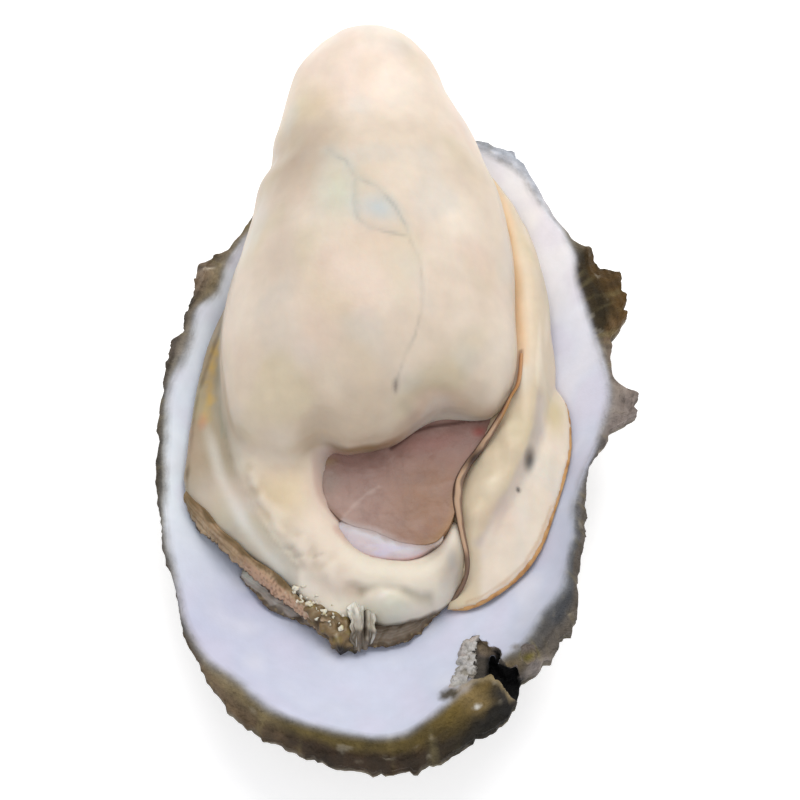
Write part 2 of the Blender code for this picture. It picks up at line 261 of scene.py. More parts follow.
def smooth_curve(knots, values, at, period=None):
    """A smooth curve through values at knots (Catmull-Rom), read at many places at once."""
    knots, values, at = (np.asarray(each, float) for each in (knots, values, at))
    if period is None:
        knots = np.concatenate([[knots[0] - 1], knots, [knots[-1] + 1]])
        values = np.concatenate([values[:1], values, values[-1:]])
    else:
        knots = np.concatenate([knots[-2:] - period, knots, knots[:2] + period])
        values = np.concatenate([values[-2:], values, values[:2]])
        at = at % period
    i = np.clip(np.searchsorted(knots, at, side="right") - 1, 1, len(knots) - 3)
    span = knots[i + 1] - knots[i]
    t = (at - knots[i]) / span
    before, after = span / (knots[i + 1] - knots[i - 1]), span / (knots[i + 2] - knots[i])
    if values.ndim > 1:
        t, before, after = t[:, None], before[:, None], after[:, None]
    return (
        (2 * t**3 - 3 * t**2 + 1) * values[i]
        + (t**3 - 2 * t**2 + t) * (values[i + 1] - values[i - 1]) * before
        + (3 * t**2 - 2 * t**3) * values[i + 1]
        + (t**3 - t**2) * (values[i + 2] - values[i]) * after
    )


def smooth_path(corners, count):
    """Points evenly spread along a smooth line through a few corners."""
    corners = np.asarray(corners, float)
    steps = np.linalg.norm(np.diff(corners, axis=0), axis=1)
    knots = np.concatenate([[0], np.cumsum(steps)]) / steps.sum()
    return smooth_curve(knots, corners, np.linspace(0, 1, count))


def distance_to(points, path):
    """Distance from each point to a path, in space or, for a flat path, seen from above."""
    path = np.asarray(path, float)
    points = points[:, : path.shape[1]]
    steps = np.linalg.norm(np.diff(path, axis=0), axis=1)
    best = np.full(len(points), np.inf)
    for a, b, length in zip(path[:-1], path[1:], steps):
        t = np.clip((points - a) @ (b - a) / length**2, 0, 1)
        best = np.minimum(best, np.linalg.norm(points - a - t[:, None] * (b - a), axis=1))
    return best


def ripple(points, width, seed):
    """Smooth noise between about -1 and 1, with bumps of a width in mm (one, or one per axis)."""
    scaled = points / np.asarray(width, float) + np.array([seed * 7.3, seed * 3.1, seed * 5.7])
    return np.array([noise.noise(Vector(place)) for place in scaled]) * 1.6


def soft_step(low, high, values):
    """0 at low, 1 at high and a soft S between; low may be the larger one."""
    t = np.clip((values - low) / (high - low), 0, 1)
    return t * t * (3 - 2 * t)


def bump(distance, width):
    """1 on a line, falling softly to 0 at a distance of width."""
    return 1 - soft_step(0, width, distance)


def soften(piece, mask, iterations):
    """Smooths only where the mask is above 0, as where one organ melts into the next."""
    group = piece.vertex_groups.new(name="soft")
    for index in np.flatnonzero(mask > 0.02):
        group.add([int(index)], float(mask[index]), "REPLACE")
    finish_with(piece, "SMOOTH", factor=0.5, iterations=iterations, vertex_group="soft")
    piece.vertex_groups.clear()


print("a smooth curve through 0, 1, 0 read at 0.5:", smooth_curve([0, 1, 2], [0, 1, 0], [0.5]))

# %% [markdown]
# ## The outline of the shell
# A real oyster's shell is an irregular spoon: deepest near its middle, with a thin dark
# margin outside the white lining. Its edge is described from one centre, as a radius for each
# bearing, because a shell grows outwards from a centre too. Growth spurs stick out of that
# outline. Finer noise of 8, 3.4 and 1.5 mm, folded so that it comes to points, then breaks the
# edge up into teeth, as real growth scales do.

# %% The outline of the shell
CUP_CENTRE = np.array((-1.0, -4.0))
CUP_FLOOR, NACRE_TOP, RIM_EDGE = 5.0, 21.5, 19.8
CUP_POWER = 2.2
RIM = np.array((
    # bearing in degrees, radius to the edge, width of the dark margin
    (0, 35.8, 1.2), (10, 37.2, 1.3), (20, 38.6, 1.9), (30, 42.2, 4.0), (39, 46.0, 4.9),
    (46, 48.2, 3.4), (52, 49.2, 1.8), (58, 51.4, 1.6), (66, 57.2, 2.0), (78, 61.2, 3.4),
    (92, 64.2, 5.0), (108, 55.9, 4.0), (123, 47.9, 2.3), (134, 45.4, 3.4), (140, 44.0, 4.3),
    (146, 42.8, 3.4), (153, 41.1, 2.9), (162, 39.7, 2.4), (171, 38.9, 1.2), (184, 38.8, 1.4),
    (195, 39.7, 1.1), (205, 41.0, 1.0), (213, 43.3, 0.9), (222, 46.2, 0.8), (230, 50.1, 1.2),
    (239, 53.8, 3.2), (250, 56.6, 4.5), (262, 58.2, 4.7), (271, 58.6, 5.0), (280, 56.4, 7.6),
    (289, 53.2, 8.0), (297, 48.8, 5.2), (306, 46.0, 5.3), (314, 42.1, 3.1), (322, 38.2, 2.4),
    (331, 35.3, 2.6), (340, 33.1, 1.3), (350, 33.4, 0.8),
))
SPURS = (
    # bearing, half angle, how far it sticks out; below 0 it is a notch
    (33.0, 8.0, 3.6), (29.0, 5.0, 2.2), (38.5, 7.0, 3.0), (46.0, 4.5, 1.5), (4.0, 6.0, 4.6),
    (8.8, 4.0, 3.6), (69.0, 5.0, 2.2), (137.0, 8.0, 1.6), (157.0, 4.0, 0.8), (282.5, 5.0, 0.8),
    (293.6, 2.6, -1.2),
)
HINGE_BEARING, HINGE_LIFT, RIM_WAVE, FLUTE_DEPTH = 92.0, 1.8, 0.9, 0.7

bearings = np.arange(0.0, 360.0, 0.25)
turns = np.radians(bearings)
circle = np.stack([np.cos(turns), np.sin(turns)], axis=1)
spurs = sum(
    height * np.clip(1 - abs((bearings - at + 180) % 360 - 180) / half, 0, 1) ** 1.3
    for at, half, height in SPURS
)
flutes = [noise.noise(Vector((6 * x, 6 * y, 3.0))) for x, y in circle]
waves = [noise.noise(Vector((1.3 * x, 1.3 * y, 11.0))) for x, y in circle]
plain_edge = smooth_curve(RIM[:, 0], RIM[:, 1], bearings, period=360)
margin_width = smooth_curve(RIM[:, 0], RIM[:, 2], bearings, period=360)
toward_hinge = np.clip(np.cos(np.radians(bearings - HINGE_BEARING)), 0, 1)
RIM_CURVES = {
    "edge": plain_edge + spurs + FLUTE_DEPTH * np.array(flutes),
    "lining": plain_edge - margin_width,
    "lift": RIM_WAVE * 2 * np.array(waves) + HINGE_LIFT * toward_hinge**6,
}


def round_rim(curve, bearing):
    """One of the curves round the rim, read at any bearing in degrees."""
    return np.interp(bearing, bearings, RIM_CURVES[curve], period=360)


def from_centre(points):
    """Bearing in degrees and distance in mm of each point, seen from the middle of the cup."""
    x, y = points[:, 0] - CUP_CENTRE[0], points[:, 1] - CUP_CENTRE[1]
    return np.degrees(np.arctan2(y, x)) % 360, np.hypot(x, y)


def cup_height(points):
    """Height of the inside of the cup under each point."""
    bearing, reach = from_centre(points)
    share = np.clip(reach / round_rim("lining", bearing), 0, 1)
    wall = NACRE_TOP + round_rim("lift", bearing) - CUP_FLOOR
    return CUP_FLOOR + wall * share**CUP_POWER


shortest, longest = RIM_CURVES["edge"].min(), RIM_CURVES["edge"].max()
print("edge radius in mm:", shortest.round(1), "to", longest.round(1))

# %% [markdown]
# ## The shell
# The animal builds its shell in layers: each season adds a thin sheet that reaches a little
# further out than the last, so the outside and the margin are terraces with ragged, flaking
# edges, while the inside is polished smooth. A ball is the handiest start for a closed bowl:
# its upper half is pushed down to become the lining and the margin, and its lower half becomes
# the outside. Each ring of the ball is given a share of the way, with the rings packed close
# where the shell is rough. Sculpting by hand would look alike, but it couldn't be repeated.

# %% The shell
SHELL_SEGMENTS, SHELL_RINGS = 600, 156
LINING_END, MARGIN_END, LIP_END = 0.28, 0.47, 0.54  # shares of the way from top to bottom
RIM_THICKNESS = 2.6
SCAR_CENTRE, SCAR_SHARE = np.array((-1.0, 7.0)), 0.34
UNDERSIDE_POWER, GROWTH_STEP, GROWTH_STEPS = 1.35, 0.9, 6
TERRACE, TERRACE_HEIGHT = 1.7, 0.42  # width and height of one growth sheet at the margin
LUMP, LUMP_RADIUS, LUMP_HEIGHT = np.array((-34.1, 24.2)), 2.9, 1.1  # an old barnacle seat

shell, ball_points = add_ball("oyster_shell", SHELL_SEGMENTS, SHELL_RINGS)
turn, way = bearing_and_way(ball_points)
toward = np.stack([np.cos(np.radians(turn)), np.sin(np.radians(turn))], axis=1)
lining, lift, edge = (round_rim(curve, turn) for curve in ("lining", "lift", "edge"))

ring = level_points(toward * edge[:, None])
margin = edge - lining
roughness = np.clip(margin / 5, 0.35, 1.0)
teeth = 1.05 * (0.43 - abs(ripple(ring, 3.4, 2))) + 0.65 * (0.38 - abs(ripple(ring, 1.5, 3)))
edge = edge + 0.35 * ripple(ring, 8, 1) + teeth * roughness - 0.2
drop = np.minimum(NACRE_TOP - RIM_EDGE, 0.42 * margin)
rim_height = NACRE_TOP + lift - drop

inner = np.clip(way / LINING_END, 0, 1) ** 0.75  # rings closer towards the border
outer = np.clip((way - LINING_END) / (MARGIN_END - LINING_END), 0, 1)
top_reach = lining * inner + (edge - lining) * outer
top = level_points(CUP_CENTRE + toward * top_reach[:, None])
wall = NACRE_TOP + lift - CUP_FLOOR
top[:, 2] = np.where(
    outer > 0,
    NACRE_TOP + lift - drop * outer**1.6,
    CUP_FLOOR + wall * inner**CUP_POWER,
)
beyond = top_reach - lining
sheet = (beyond + 0.9 * ripple(top, 7, 4) + 0.35 * ripple(top, 2, 5)) / TERRACE
terraces = TERRACE_HEIGHT * (0.5 - sheet % 1.0) * soft_step(0.8, 2.4, beyond)
lumps = 0.3 * ripple(top, 4.5, 6) + 0.2 * ripple(top, 1.6, 7)
top[:, 2] += (terraces + lumps * soft_step(0.5, 3.0, beyond)) * roughness
swell = 0.22 * ripple(top, 16, 8) + 0.05 * ripple(top, 5, 9)
top[:, 2] += swell * soft_step(0.15, 0.5, inner) * (1 - soft_step(0.9, 1.0, inner))
from_lump = np.linalg.norm(top[:, :2] - LUMP, axis=1) / LUMP_RADIUS
top[:, 2] += LUMP_HEIGHT * np.sqrt(np.clip(1 - from_lump**2, 0, 1))
print("highest point of the margin in mm:", top[:, 2].max().round(1))

# %% [markdown]
# ## The outside of the shell
# Seen from below, the growth sheets lie on each other like roof tiles, round the flat scar by
# which the young oyster was fixed and on which the shell now stands. Each sheet is one tooth of
# a saw-tooth rule over the share of the way from the scar to the rim, so it rises slowly and
# ends in a small step. Between the margin and the outside lies the lip, the cut ends of all the
# sheets, which gets thin ridges round the rim.

# %% The outside of the shell
down = np.clip((way - LIP_END) / (1 - LIP_END), 0, 1)
rim_place = CUP_CENTRE + toward * edge[:, None]
under = level_points(rim_place + (SCAR_CENTRE - rim_place) * down[:, None])
rise = np.clip((1 - down - SCAR_SHARE) / (1 - SCAR_SHARE), 0, 1)
wander = np.array([noise.noise(Vector((x / 14, y / 14, 7.0))) for x, y, _ in under])
fine_wander = 0.22 * ripple(under, 5, 10) + 0.12 * ripple(under, 1.8, 11)
step = (GROWTH_STEPS * rise + 0.6 * wander + fine_wander) % 1.0
height = (rim_height - RIM_THICKNESS) * rise**UNDERSIDE_POWER
height -= GROWTH_STEP * step * np.clip(4 * rise, 0, 1)
grit = 0.35 * ripple(under, 3.5, 12) + 0.18 * ripple(under, 1.3, 13)
folds = 0.5 * np.sin(np.radians(turn) * 17 + 2.2 * wander) * rise**2
under[:, 2] = np.maximum(0.0, height + (grit + folds) * soft_step(0.02, 0.25, rise))
flare = 0.7 * (step - 0.5) * soft_step(0.1, 0.5, rise) * (1 - soft_step(0.96, 1.0, rise))
under[:, :2] -= toward * flare[:, None]

fall = np.clip((way - MARGIN_END) / (LIP_END - MARGIN_END), 0, 1)
layers = 0.22 * np.sin(fall * 21 + 2 * ripple(ring, 6, 14))
layers += 0.25 * ripple(ring + fall[:, None] * 3, 1.5, 15)
lip = np.column_stack([rim_place, rim_height])
lip[:, :2] += toward * (layers * np.sin(fall * math.pi) - 0.15)[:, None]
lip[:, 2] -= RIM_THICKNESS * fall
zone = np.select([way <= MARGIN_END, way < LIP_END], [0, 1], 2)
places = np.where((zone == 0)[:, None], top, np.where((zone == 1)[:, None], lip, under))
write_points(shell, places)
face_outwards(shell)
soften(shell, bump(abs(beyond), 3.0) * (zone == 0), 14)
store_value(shell, "outside", soft_step(MARGIN_END, LIP_END, way))
store_value(shell, "growth", step * (zone == 2))  # 0 to 1 across each growth sheet
print("shell:", len(shell.data.vertices), "points,", len(shell.data.polygons), "faces")

# %% [markdown]
# ## The break
# The knife that opened this oyster snapped a piece out of the margin. A break through chalky
# layers is jagged in plan and rough in its walls. A Boolean modifier takes the piece out with
# a cutter: a ring of corners filled, extruded upwards and remeshed into small squares, so that
# noise can roughen its sides before it cuts.

# %% The break
BREAK_TOP, BREAK_GRAIN = 26.0, 0.35
PRISM_HEIGHT = 30.0  # more than any floor or top, so that it tells the two apart
TORN_EDGE = (
    (8.8, -50.8), (9.5, -50.0), (10.6, -49.2), (11.6, -48.9), (12.9, -49.0), (13.6, -48.5),
    (14.3, -48.7), (15.2, -49.4), (15.7, -50.2), (16.3, -50.8), (17.0, -51.6),
)
CHIPS = (
    # name, painted shade of its walls (from 0.6 up they are painted black as shadow), corners: x,
    # y and the height of the floor there
    ("facet_chip", 0.45, (
        (11.6, -39.6, 16.1), (12.5, -40.5, 16.4), (13.5, -41.6, 16.8), (14.8, -42.9, 16.6),
        (15.8, -44.0, 15.6), (15.2, -46.0, 14.6), (14.9, -48.0, 15.6), (13.7, -48.3, 16.2),
        (12.9, -48.9, 16.8), (11.6, -48.8, 17.2), (10.6, -48.6, 17.8), (11.1, -46.6, 16.8),
        (11.4, -44.6, 16.4), (11.2, -42.6, 16.0), (11.0, -41.1, 15.8),
    )),
    ("deep_chip", 1.0, (
        (13.9, -43.2, 13.6), (14.6, -42.9, 13.6), (15.2, -44.0, 13.8), (15.4, -45.6, 14.4),
        (16.3, -46.6, 15.8), (18.0, -46.3, 17.0), (18.3, -47.1, 17.4), (18.0, -48.2, 17.8),
        (20.4, -48.8, 18.8), (19.2, -52.4, 18.8), (17.0, -51.4, 18.4), (16.2, -50.6, 17.8),
        (15.6, -50.0, 17.2), (15.2, -49.2, 16.6), (14.3, -48.5, 16.0), (13.7, -48.2, 15.6),
        (13.9, -45.6, 14.2),
    )),
    ("terrace_chip", 0.2, (
        (18.5, -43.7, 20.2), (19.3, -43.2, 20.2), (20.8, -43.5, 20.0), (21.4, -44.6, 19.8),
        (20.2, -45.8, 19.6), (18.8, -45.6, 19.9),
    )),
)


def corners_to_prism(name, corners, top_height):
    """Fills a ring of corners, extrudes it upwards and levels its top."""
    bpy.ops.object.select_all(action="DESELECT")
    bpy.ops.mesh.primitive_circle_add(vertices=len(corners), radius=1.0, fill_type="NGON")
    prism = bpy.context.object
    prism.name = name
    write_points(prism, np.array(corners))
    bpy.ops.object.mode_set(mode="EDIT")
    bpy.ops.mesh.select_all(action="SELECT")
    bpy.ops.mesh.extrude_region_move(TRANSFORM_OT_translate={"value": (0, 0, PRISM_HEIGHT * MM)})
    bpy.ops.object.mode_set(mode="OBJECT")
    places = read_points(prism)
    places[places[:, 2] > PRISM_HEIGHT, 2] = top_height
    write_points(prism, places)
    face_outwards(prism)
    return prism


def cut(piece, cutter):
    """Takes a cutter's shape out of a piece and deletes the cutter."""
    finish_with(piece, "BOOLEAN", operation="DIFFERENCE", solver="MANIFOLD", object=cutter)
    bpy.data.objects.remove(cutter, do_unlink=True)


for name, wall_shade, corners in CHIPS:
    chip = corners_to_prism(name, corners, BREAK_TOP)
    finish_with(chip, "REMESH", mode="VOXEL", voxel_size=BREAK_GRAIN * MM)
    places = read_points(chip)
    rough = 0.3 * ripple(places, 2.0, 20) + 0.25 * ripple(places, 0.8, 21)
    write_points(chip, places + read_normals(chip) * rough[:, None])
    store_value(chip, "broken", np.full(len(places), wall_shade))
    cut(shell, chip)
print("shell after the break:", len(shell.data.polygons), "faces")

# %% [markdown]
# ## Painting by rule
# Flesh and shell change colour from place to place, so each piece carries a painted colour on
# its points, as vertex paint does. Here rules lay the paint, coat after coat: along a line,
# inside an oval patch, or by height. The materials then add grain that is finer than the mesh.

# %% Painting by rule
def tint_over(tint, hex_value, mask):
    """Lays a colour over a tint, as strongly as the mask says."""
    return tint + (np.array(colour(hex_value)) - tint) * np.asarray(mask)[:, None]


def lay_over(tint, *coats):
    """Lays several coats over a tint in turn, each a hex value with its mask."""
    for hex_value, mask in coats:
        tint = tint_over(tint, hex_value, mask)
    return tint


def blend(first, second, share):
    """Goes from one tint to another as the share goes from 0 to 1."""
    return first + (second - first) * share[:, None]


def plain_tint(piece, hex_value):
    return np.tile(np.array(colour(hex_value)), (len(piece.data.vertices), 1))


def store_tint(piece, tint):
    layer = piece.data.color_attributes.new("tint", "FLOAT_COLOR", "POINT")
    layer.data.foreach_set("color", tint.astype(np.float32).ravel())


def patch(points, centre, radii, turn_degrees=0.0):
    """1 in the middle of an oval patch seen from above, falling softly to 0 at its border."""
    a = math.radians(turn_degrees)
    x, y = points[:, 0] - centre[0], points[:, 1] - centre[1]
    along, across = x * math.cos(a) + y * math.sin(a), y * math.cos(a) - x * math.sin(a)
    return bump(np.hypot(along / radii[0], across / radii[1]), 1.0)


def firm(mask):
    """Cuts a strengthened mask off at 0 and 1, which gives a patch a flat middle."""
    return np.clip(mask, 0, 1)


def paint_patches(tint, points, patches, where=1.0):
    """Paints oval patches in turn, each given by colour, strength, centre, radii and turn."""
    for hex_value, strength, centre, radii, turn_degrees in patches:
        mask = strength * patch(points, centre, radii, turn_degrees) * where
        tint = tint_over(tint, hex_value, mask)
    return tint


print("half a coat of black on white:", tint_over(np.ones((1, 4)), "#000000", [0.5])[0, :3])

# %% [markdown]
# ## Colours of the shell
# The lining is white with faint lilac and blue clouds. The horny margin round it changes its
# colour with the bearing, from pale grey by the hinge to nearly black on the growth spurs, so
# two tables give the colours round the rim. They are read at a bearing that wanders a little,
# so that no colour ends along a straight line. A value named polish is 1 on the lining and 0
# on everything rough, for the material to tell the two apart.

# %% Colours of the shell
places = read_points(shell)
x, y, z = places.T
bearing, reach = from_centre(places)
beyond = reach - round_rim("lining", bearing)
beyond += 0.6 * ripple(places, 8, 22) + 0.12 * ripple(places, 2.4, 23)
outside, broken = read_value(shell, "outside"), read_value(shell, "broken")
on_top = 1 - outside


def in_arc(low, high, soft=8.0):
    """1 for bearings between low and high, with soft ends."""
    middle, half = (low + high) / 2, (high - low) / 2
    return 1 - soft_step(half - soft, half + soft, abs((bearing - middle + 180) % 360 - 180))


NACRE_TONES = (
    # bearing, colour of the lining; from 170 to 200 degrees, on the left wall, it is lighter than
    # the lining's own colour, as painted light against the shade that falls there
    (0, "#d3d9ec"), (35, "#eceffc"), (60, "#fffdff"), (105, "#e4e7f2"), (145, "#dfe6f0"),
    (170, "#eaf3ff"), (200, "#eff7ff"), (229, "#cbcfe4"), (262, "#d2d7e9"), (300, "#d2d8ea"),
    (335, "#d2d8eb"),
)
MARGIN_TONES = (
    # bearing, colour beside the lining, colour at the edge
    (5, "#a0938a", "#a0928a"), (20, "#7d7060", "#7b6c5c"), (28, "#302406", "#5f451c"),
    (45, "#2d2105", "#523c17"), (52, "#8f8672", "#8b8170"), (59, "#dcdbe0", "#d2d1d6"),
    (67, "#d2d4dc", "#bcc2cc"), (84, "#a6a8b2", "#8d8f93"), (104, "#9a948b", "#776f62"),
    (124, "#8a7c68", "#76684f"), (139, "#85785d", "#6a5a48"), (147, "#6f6250", "#3c342b"),
    (160, "#80776a", "#5c5146"), (178, "#8a8270", "#5c5242"), (200, "#7a705c", "#4d4538"),
    (222, "#74674f", "#5c5040"), (238, "#87785a", "#75634c"), (247, "#7a6b4c", "#67553f"),
    (256, "#5f5128", "#3d2d1e"), (272, "#5a4b22", "#3d2d1c"), (280, "#6f5c28", "#2b2315"),
    (288, "#6a5628", "#15130f"), (296, "#6f685f", "#6a6159"), (306, "#494a4d", "#635b51"),
    (322, "#4a4c4f", "#665d54"), (335, "#6b6663", "#5f5850"), (350, "#7d756f", "#625a53"),
)


def tones_round(tones, column, bearing):
    """A colour that changes smoothly round the rim, from a table of bearings and hex values."""
    knots = [row[0] for row in tones]
    channels = np.array([colour(row[column]) for row in tones])
    mixed = [np.interp(bearing, knots, channels[:, i], period=360) for i in range(4)]
    return np.column_stack(mixed)


clouds = 0.5 + 0.5 * ripple(places, 6, 24)
specks = 0.5 + 0.5 * ripple(places, 1.7, 25)
angle = np.radians(bearing)
unrolled = np.column_stack([45 * np.cos(angle), 45 * np.sin(angle), reach])
streaks = 0.5 + 0.5 * ripple(unrolled, (1.3, 1.3, 8), 26)  # these run outwards
width = round_rim("edge", bearing) - round_rim("lining", bearing)
outward = np.clip(beyond / width, 0, 1)
nacre = lay_over(
    tones_round(NACRE_TONES, 1, bearing),
    ("#dcd6ea", 0.35 * soft_step(0.4, 0.9, clouds)),
    ("#ecebf3", 0.35 * soft_step(0.5, 1.0, 1 - clouds)),
    ("#a9afbf", 0.42 * soft_step(-7, 0, beyond) * (in_arc(285, 352, 12) + in_arc(75, 110, 8))),
)
ragged = bearing + 2.5 * ripple(places, 5, 27)
inner_tone = tones_round(MARGIN_TONES, 1, ragged)
outer_tone = tones_round(MARGIN_TONES, 2, ragged)
pale = in_arc(50, 72, 4)  # here the lining runs out to the edge
from_lump = np.linalg.norm(places[:, :2] - LUMP, axis=1) / LUMP_RADIUS
margin = lay_over(
    blend(inner_tone, outer_tone, soft_step(0.35, 0.75, outward + 0.25 * (clouds - 0.5))),
    ("#20180c", 0.5 * soft_step(0.5, 0.9, clouds) * outward * (1 - pale)
     * (1 - 0.7 * in_arc(22, 46))),
    ("#2e261b", 0.4 * soft_step(0.5, 0.85, streaks) * soft_step(0.3, 0.9, outward) * (1 - pale)),
    ("#8a7d55", 0.4 * soft_step(0.65, 1.0, 1 - streaks) * (1 - pale)),
    ("#a89f8c", 0.35 * soft_step(0.86, 1.05, specks)),
    ("#8d7861", 0.8 * bump(from_lump, 1.2)),
    ("#d9cbb4", 0.8 * patch(places, (-33.0, 26.4), (1.6, 0.8), 20)),
    ("#1d1813", 0.85 * patch(places, (-36.2, 20.6), (1.2, 2.0), -20)),
)
growth = read_value(shell, "growth")
rough_coat = lay_over(
    plain_tint(shell, "#857c6d"),
    ("#4b4639", 0.8 * soft_step(0.4, 0.8, clouds)),
    ("#b7ae9d", 0.7 * soft_step(0.6, 0.95, specks)),
    ("#6d6a4c", 0.5 * soft_step(0.55, 0.9, 1 - clouds)),
    ("#aaa18e", 0.6 * bump(abs(growth - 0.35), 0.3)),
    # painted shade in the low part of each growth sheet, just under the step to the next
    ("#39342a", 0.75 * soft_step(0.7, 0.95, growth)),
)
lip_height = z - round_rim("lift", bearing) + 0.6 * ripple(places, 4, 14)
rough_coat = blend(outer_tone * 0.9, rough_coat, soft_step(19.8, 17.2, lip_height))
polish = (1 - soft_step(-1.0, 0.9, beyond)) * on_top * (1 - soft_step(0, 0.15, broken))
lining_border = 0.5 * bump(abs(beyond - 0.1), 1.5) * on_top * (1 - 0.8 * in_arc(22, 48))
tint = blend(margin, rough_coat, outside)
tint = blend(tint_over(tint, "#8e8f90", lining_border), nacre, polish)
print("share of the shell that is lining:", round(float((polish > 0.5).mean()), 2))

# %% [markdown]
# ## Colours of the break
# Fresh walls of chalk are grey-brown, with painted shade that darkens them with depth and towards
# the hole, and one facet that faces the light is painted tan as painted light. Where the break is
# deepest, the hole is painted black as shadow. The flap in front of it carries a pale torn edge,
# an olive stain and the dark crust of old growth. Each of these is a patch or a line on the
# margin, and noise of 1 to 2 mm makes its border uneven.

# %% Colours of the break
lit_facet = firm(1.8 * patch(places, (13.0, -41.3), (3.0, 1.7), -42))
wall_tone = lay_over(
    plain_tint(shell, "#93867e"),
    # painted shade: the walls get darker with depth
    ("#5b534d", soft_step(17.4, 15.6, z)),
    ("#b9aea4", 0.6 * soft_step(0.6, 0.9, specks)),
    # painted shade on the walls towards the hole
    ("#4f4a42", 0.85 * soft_step(-42.6, -43.6, y + 0.4 * ripple(places, 1.2, 18))
     * soft_step(17.5, 16.5, x)),
    # painted light: the facet that faces the light is tan
    ("#a8957c", 0.9 * lit_facet),
    ("#7c6a50", 0.6 * lit_facet * soft_step(0.5, 0.8, specks)),
)
is_wall = soft_step(0.1, 0.15, broken)
in_front = on_top * (1 - is_wall)
# painted shadow: the floor of the hole is painted black
hole_shadow = on_top * soft_step(19.3, 18.7, z)
hole_shadow *= soft_step(13.0, 13.6, x + 0.3 * ripple(places, 1.0, 19))
hole_shadow *= soft_step(-42.7, -43.4, y + 0.3 * ripple(places, 1.2, 17))
hole_shadow *= patch(places, (16.5, -46.5), (6.0, 9.0)).clip(0, 0.5) * 2
to_tear = distance_to(places, TORN_EDGE)
mottled = 1 + 0.5 * ripple(places, 1.6, 15)
olive_stain = (1 + 0.8 * ripple(places, 0.9, 18)) * patch(places, (7.3, -51.0), (2.0, 2.0))
crust_above = firm(2 * mottled * patch(places, (15.2, -54.2), (4.0, 2.6), 35))
crust_below = firm(1.5 * mottled * patch(places, (12.6, -57.6), (7.0, 2.6), 38))
torn_corner = firm(2 * patch(places, (10.4, -47.9), (1.5, 1.2)))
chipped_lining = patch(places, (17.8, -43.5), (1.2, 1.0))
tint = lay_over(
    blend(tint, wall_tone, is_wall),
    # painted shadow: the walls of the deep chip are painted black
    ("#070606", soft_step(0.6, 0.95, broken) * soft_step(20.9, 19.9, z)),
    ("#070606", hole_shadow),
    ("#8d774a", 0.9 * in_front * patch(places, (11.2, -52.0), (6.0, 3.2), -30)),
    ("#9c8a66", 0.75 * in_front * bump(to_tear + 0.3 * ripple(places, 1.0, 16), 0.8)),
    ("#a39a93", 0.8 * in_front * patch(places, (9.8, -50.5), (1.6, 1.1), 30)),
    ("#120f0b", 0.95 * in_front * crust_above),
    ("#1d190f", 0.75 * (1 - is_wall) * crust_below),
    ("#443a20", 0.92 * firm(1.7 * olive_stain) * on_top),
    ("#f1eee6", patch(places, (11.7, -53.2), (0.8, 0.6), 20) * on_top),
    ("#857a24", 0.85 * patch(places, (19.8, -44.6), (2.2, 1.4), 20) * on_top),
    ("#7b7266", 0.8 * chipped_lining * on_top),
    ("#aaa09b", 0.8 * patch(places, (21.2, -46.3), (3.6, 1.5), 32) * on_top),
    ("#6b635b", 0.9 * in_front * torn_corner),
)
polish *= (1 - 0.9 * bump(to_tear, 2.0)) * (1 - chipped_lining)
polish *= (1 - patch(places, (7.2, -50.9), (2.0, 1.7))) * (1 - torn_corner)
store_tint(shell, tint)
store_value(shell, "polish", polish)
print("share of the shell that is broken:", round(float((broken > 0.1).mean()), 2))

# %% [markdown]
# ## Shell material
# Oyster shell is calcite. The lining was laid down in microscopic tilted layers and polished by
# the living mantle, so it is white with a soft, slightly blue gloss. The margin is horny
# prismatic calcite and the outside is weathered chalk, both rough and matt. One material holds
# all of them, because they run into each other: a painted value named polish blends between
# them, and grain of 0.5 and 2.2 mm roughens the unpolished part.

# %% Shell material
def metres_scale(width):
    """Scale of a noise whose bumps are to be a width in mm, on Object coordinates in metres."""
    return 1 / (width * MM)


calcite, shader = new_material("oyster_calcite_layered")
where = add_node(calcite, "TexCoord").outputs["Object"]
painted = add_node(calcite, "Attribute", attribute_name="tint").outputs["Color"]
polished = add_node(calcite, "Attribute", attribute_name="polish").outputs["Fac"]
grain, fine_grain = (
    add_node(
        calcite, "TexNoise", {"Vector": where, "Scale": metres_scale(width), "Detail": detail}
    ).outputs["Fac"]
    for width, detail in ((2.2, 6.0), (0.5, 4.0))
)
rough_shade = add_node(calcite, "MapRange", {0: grain, 1: 0.3, 2: 0.7, 3: 0.68, 4: 1.22})
even_shade = add_node(calcite, "MapRange", {0: grain, 1: 0.3, 2: 0.7, 3: 0.97, 4: 1.02})
strength = add_node(
    calcite, "Mix", {0: polished, 2: rough_shade.outputs[0], 3: even_shade.outputs[0]}
)
shaded = add_node(
    calcite, "VectorMath", {0: painted, "Scale": strength.outputs[0]}, operation="SCALE"
)
gloss = add_node(calcite, "MapRange", {0: polished, 3: 0.72, 4: 0.3})
both = add_node(calcite, "Math", {0: grain, 1: fine_grain}, operation="ADD")
relief = add_node(calcite, "MapRange", {0: polished, 3: 1.0, 4: 0.06})
bumps = add_node(
    calcite, "Bump",
    {"Height": both.outputs[0], "Distance": 0.5 * MM, "Strength": relief.outputs[0]},
)
fill_inputs(calcite, shader, {
    "Base Color": shaded.outputs[0],
    "Roughness": gloss.outputs[0],
    "Normal": bumps.outputs["Normal"],
    "IOR": 1.55,
    "Specular IOR Level": 0.3,
    "Subsurface Weight": 0.08,
    "Subsurface Radius": (1.0, 0.8, 0.7),
    "Subsurface Scale": 1.0 * MM,
})


def dress(piece, material, node):
    """Gives a finished piece its material, and lets it stand for a CAD solid."""
    piece.data.materials.clear()
    piece.data.materials.append(material)
    piece.data.shade_smooth()
    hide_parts(node)
    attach(piece, "root")


dress(shell, calcite, "shell")
print("shell material nodes:", len(calcite.node_tree.nodes))

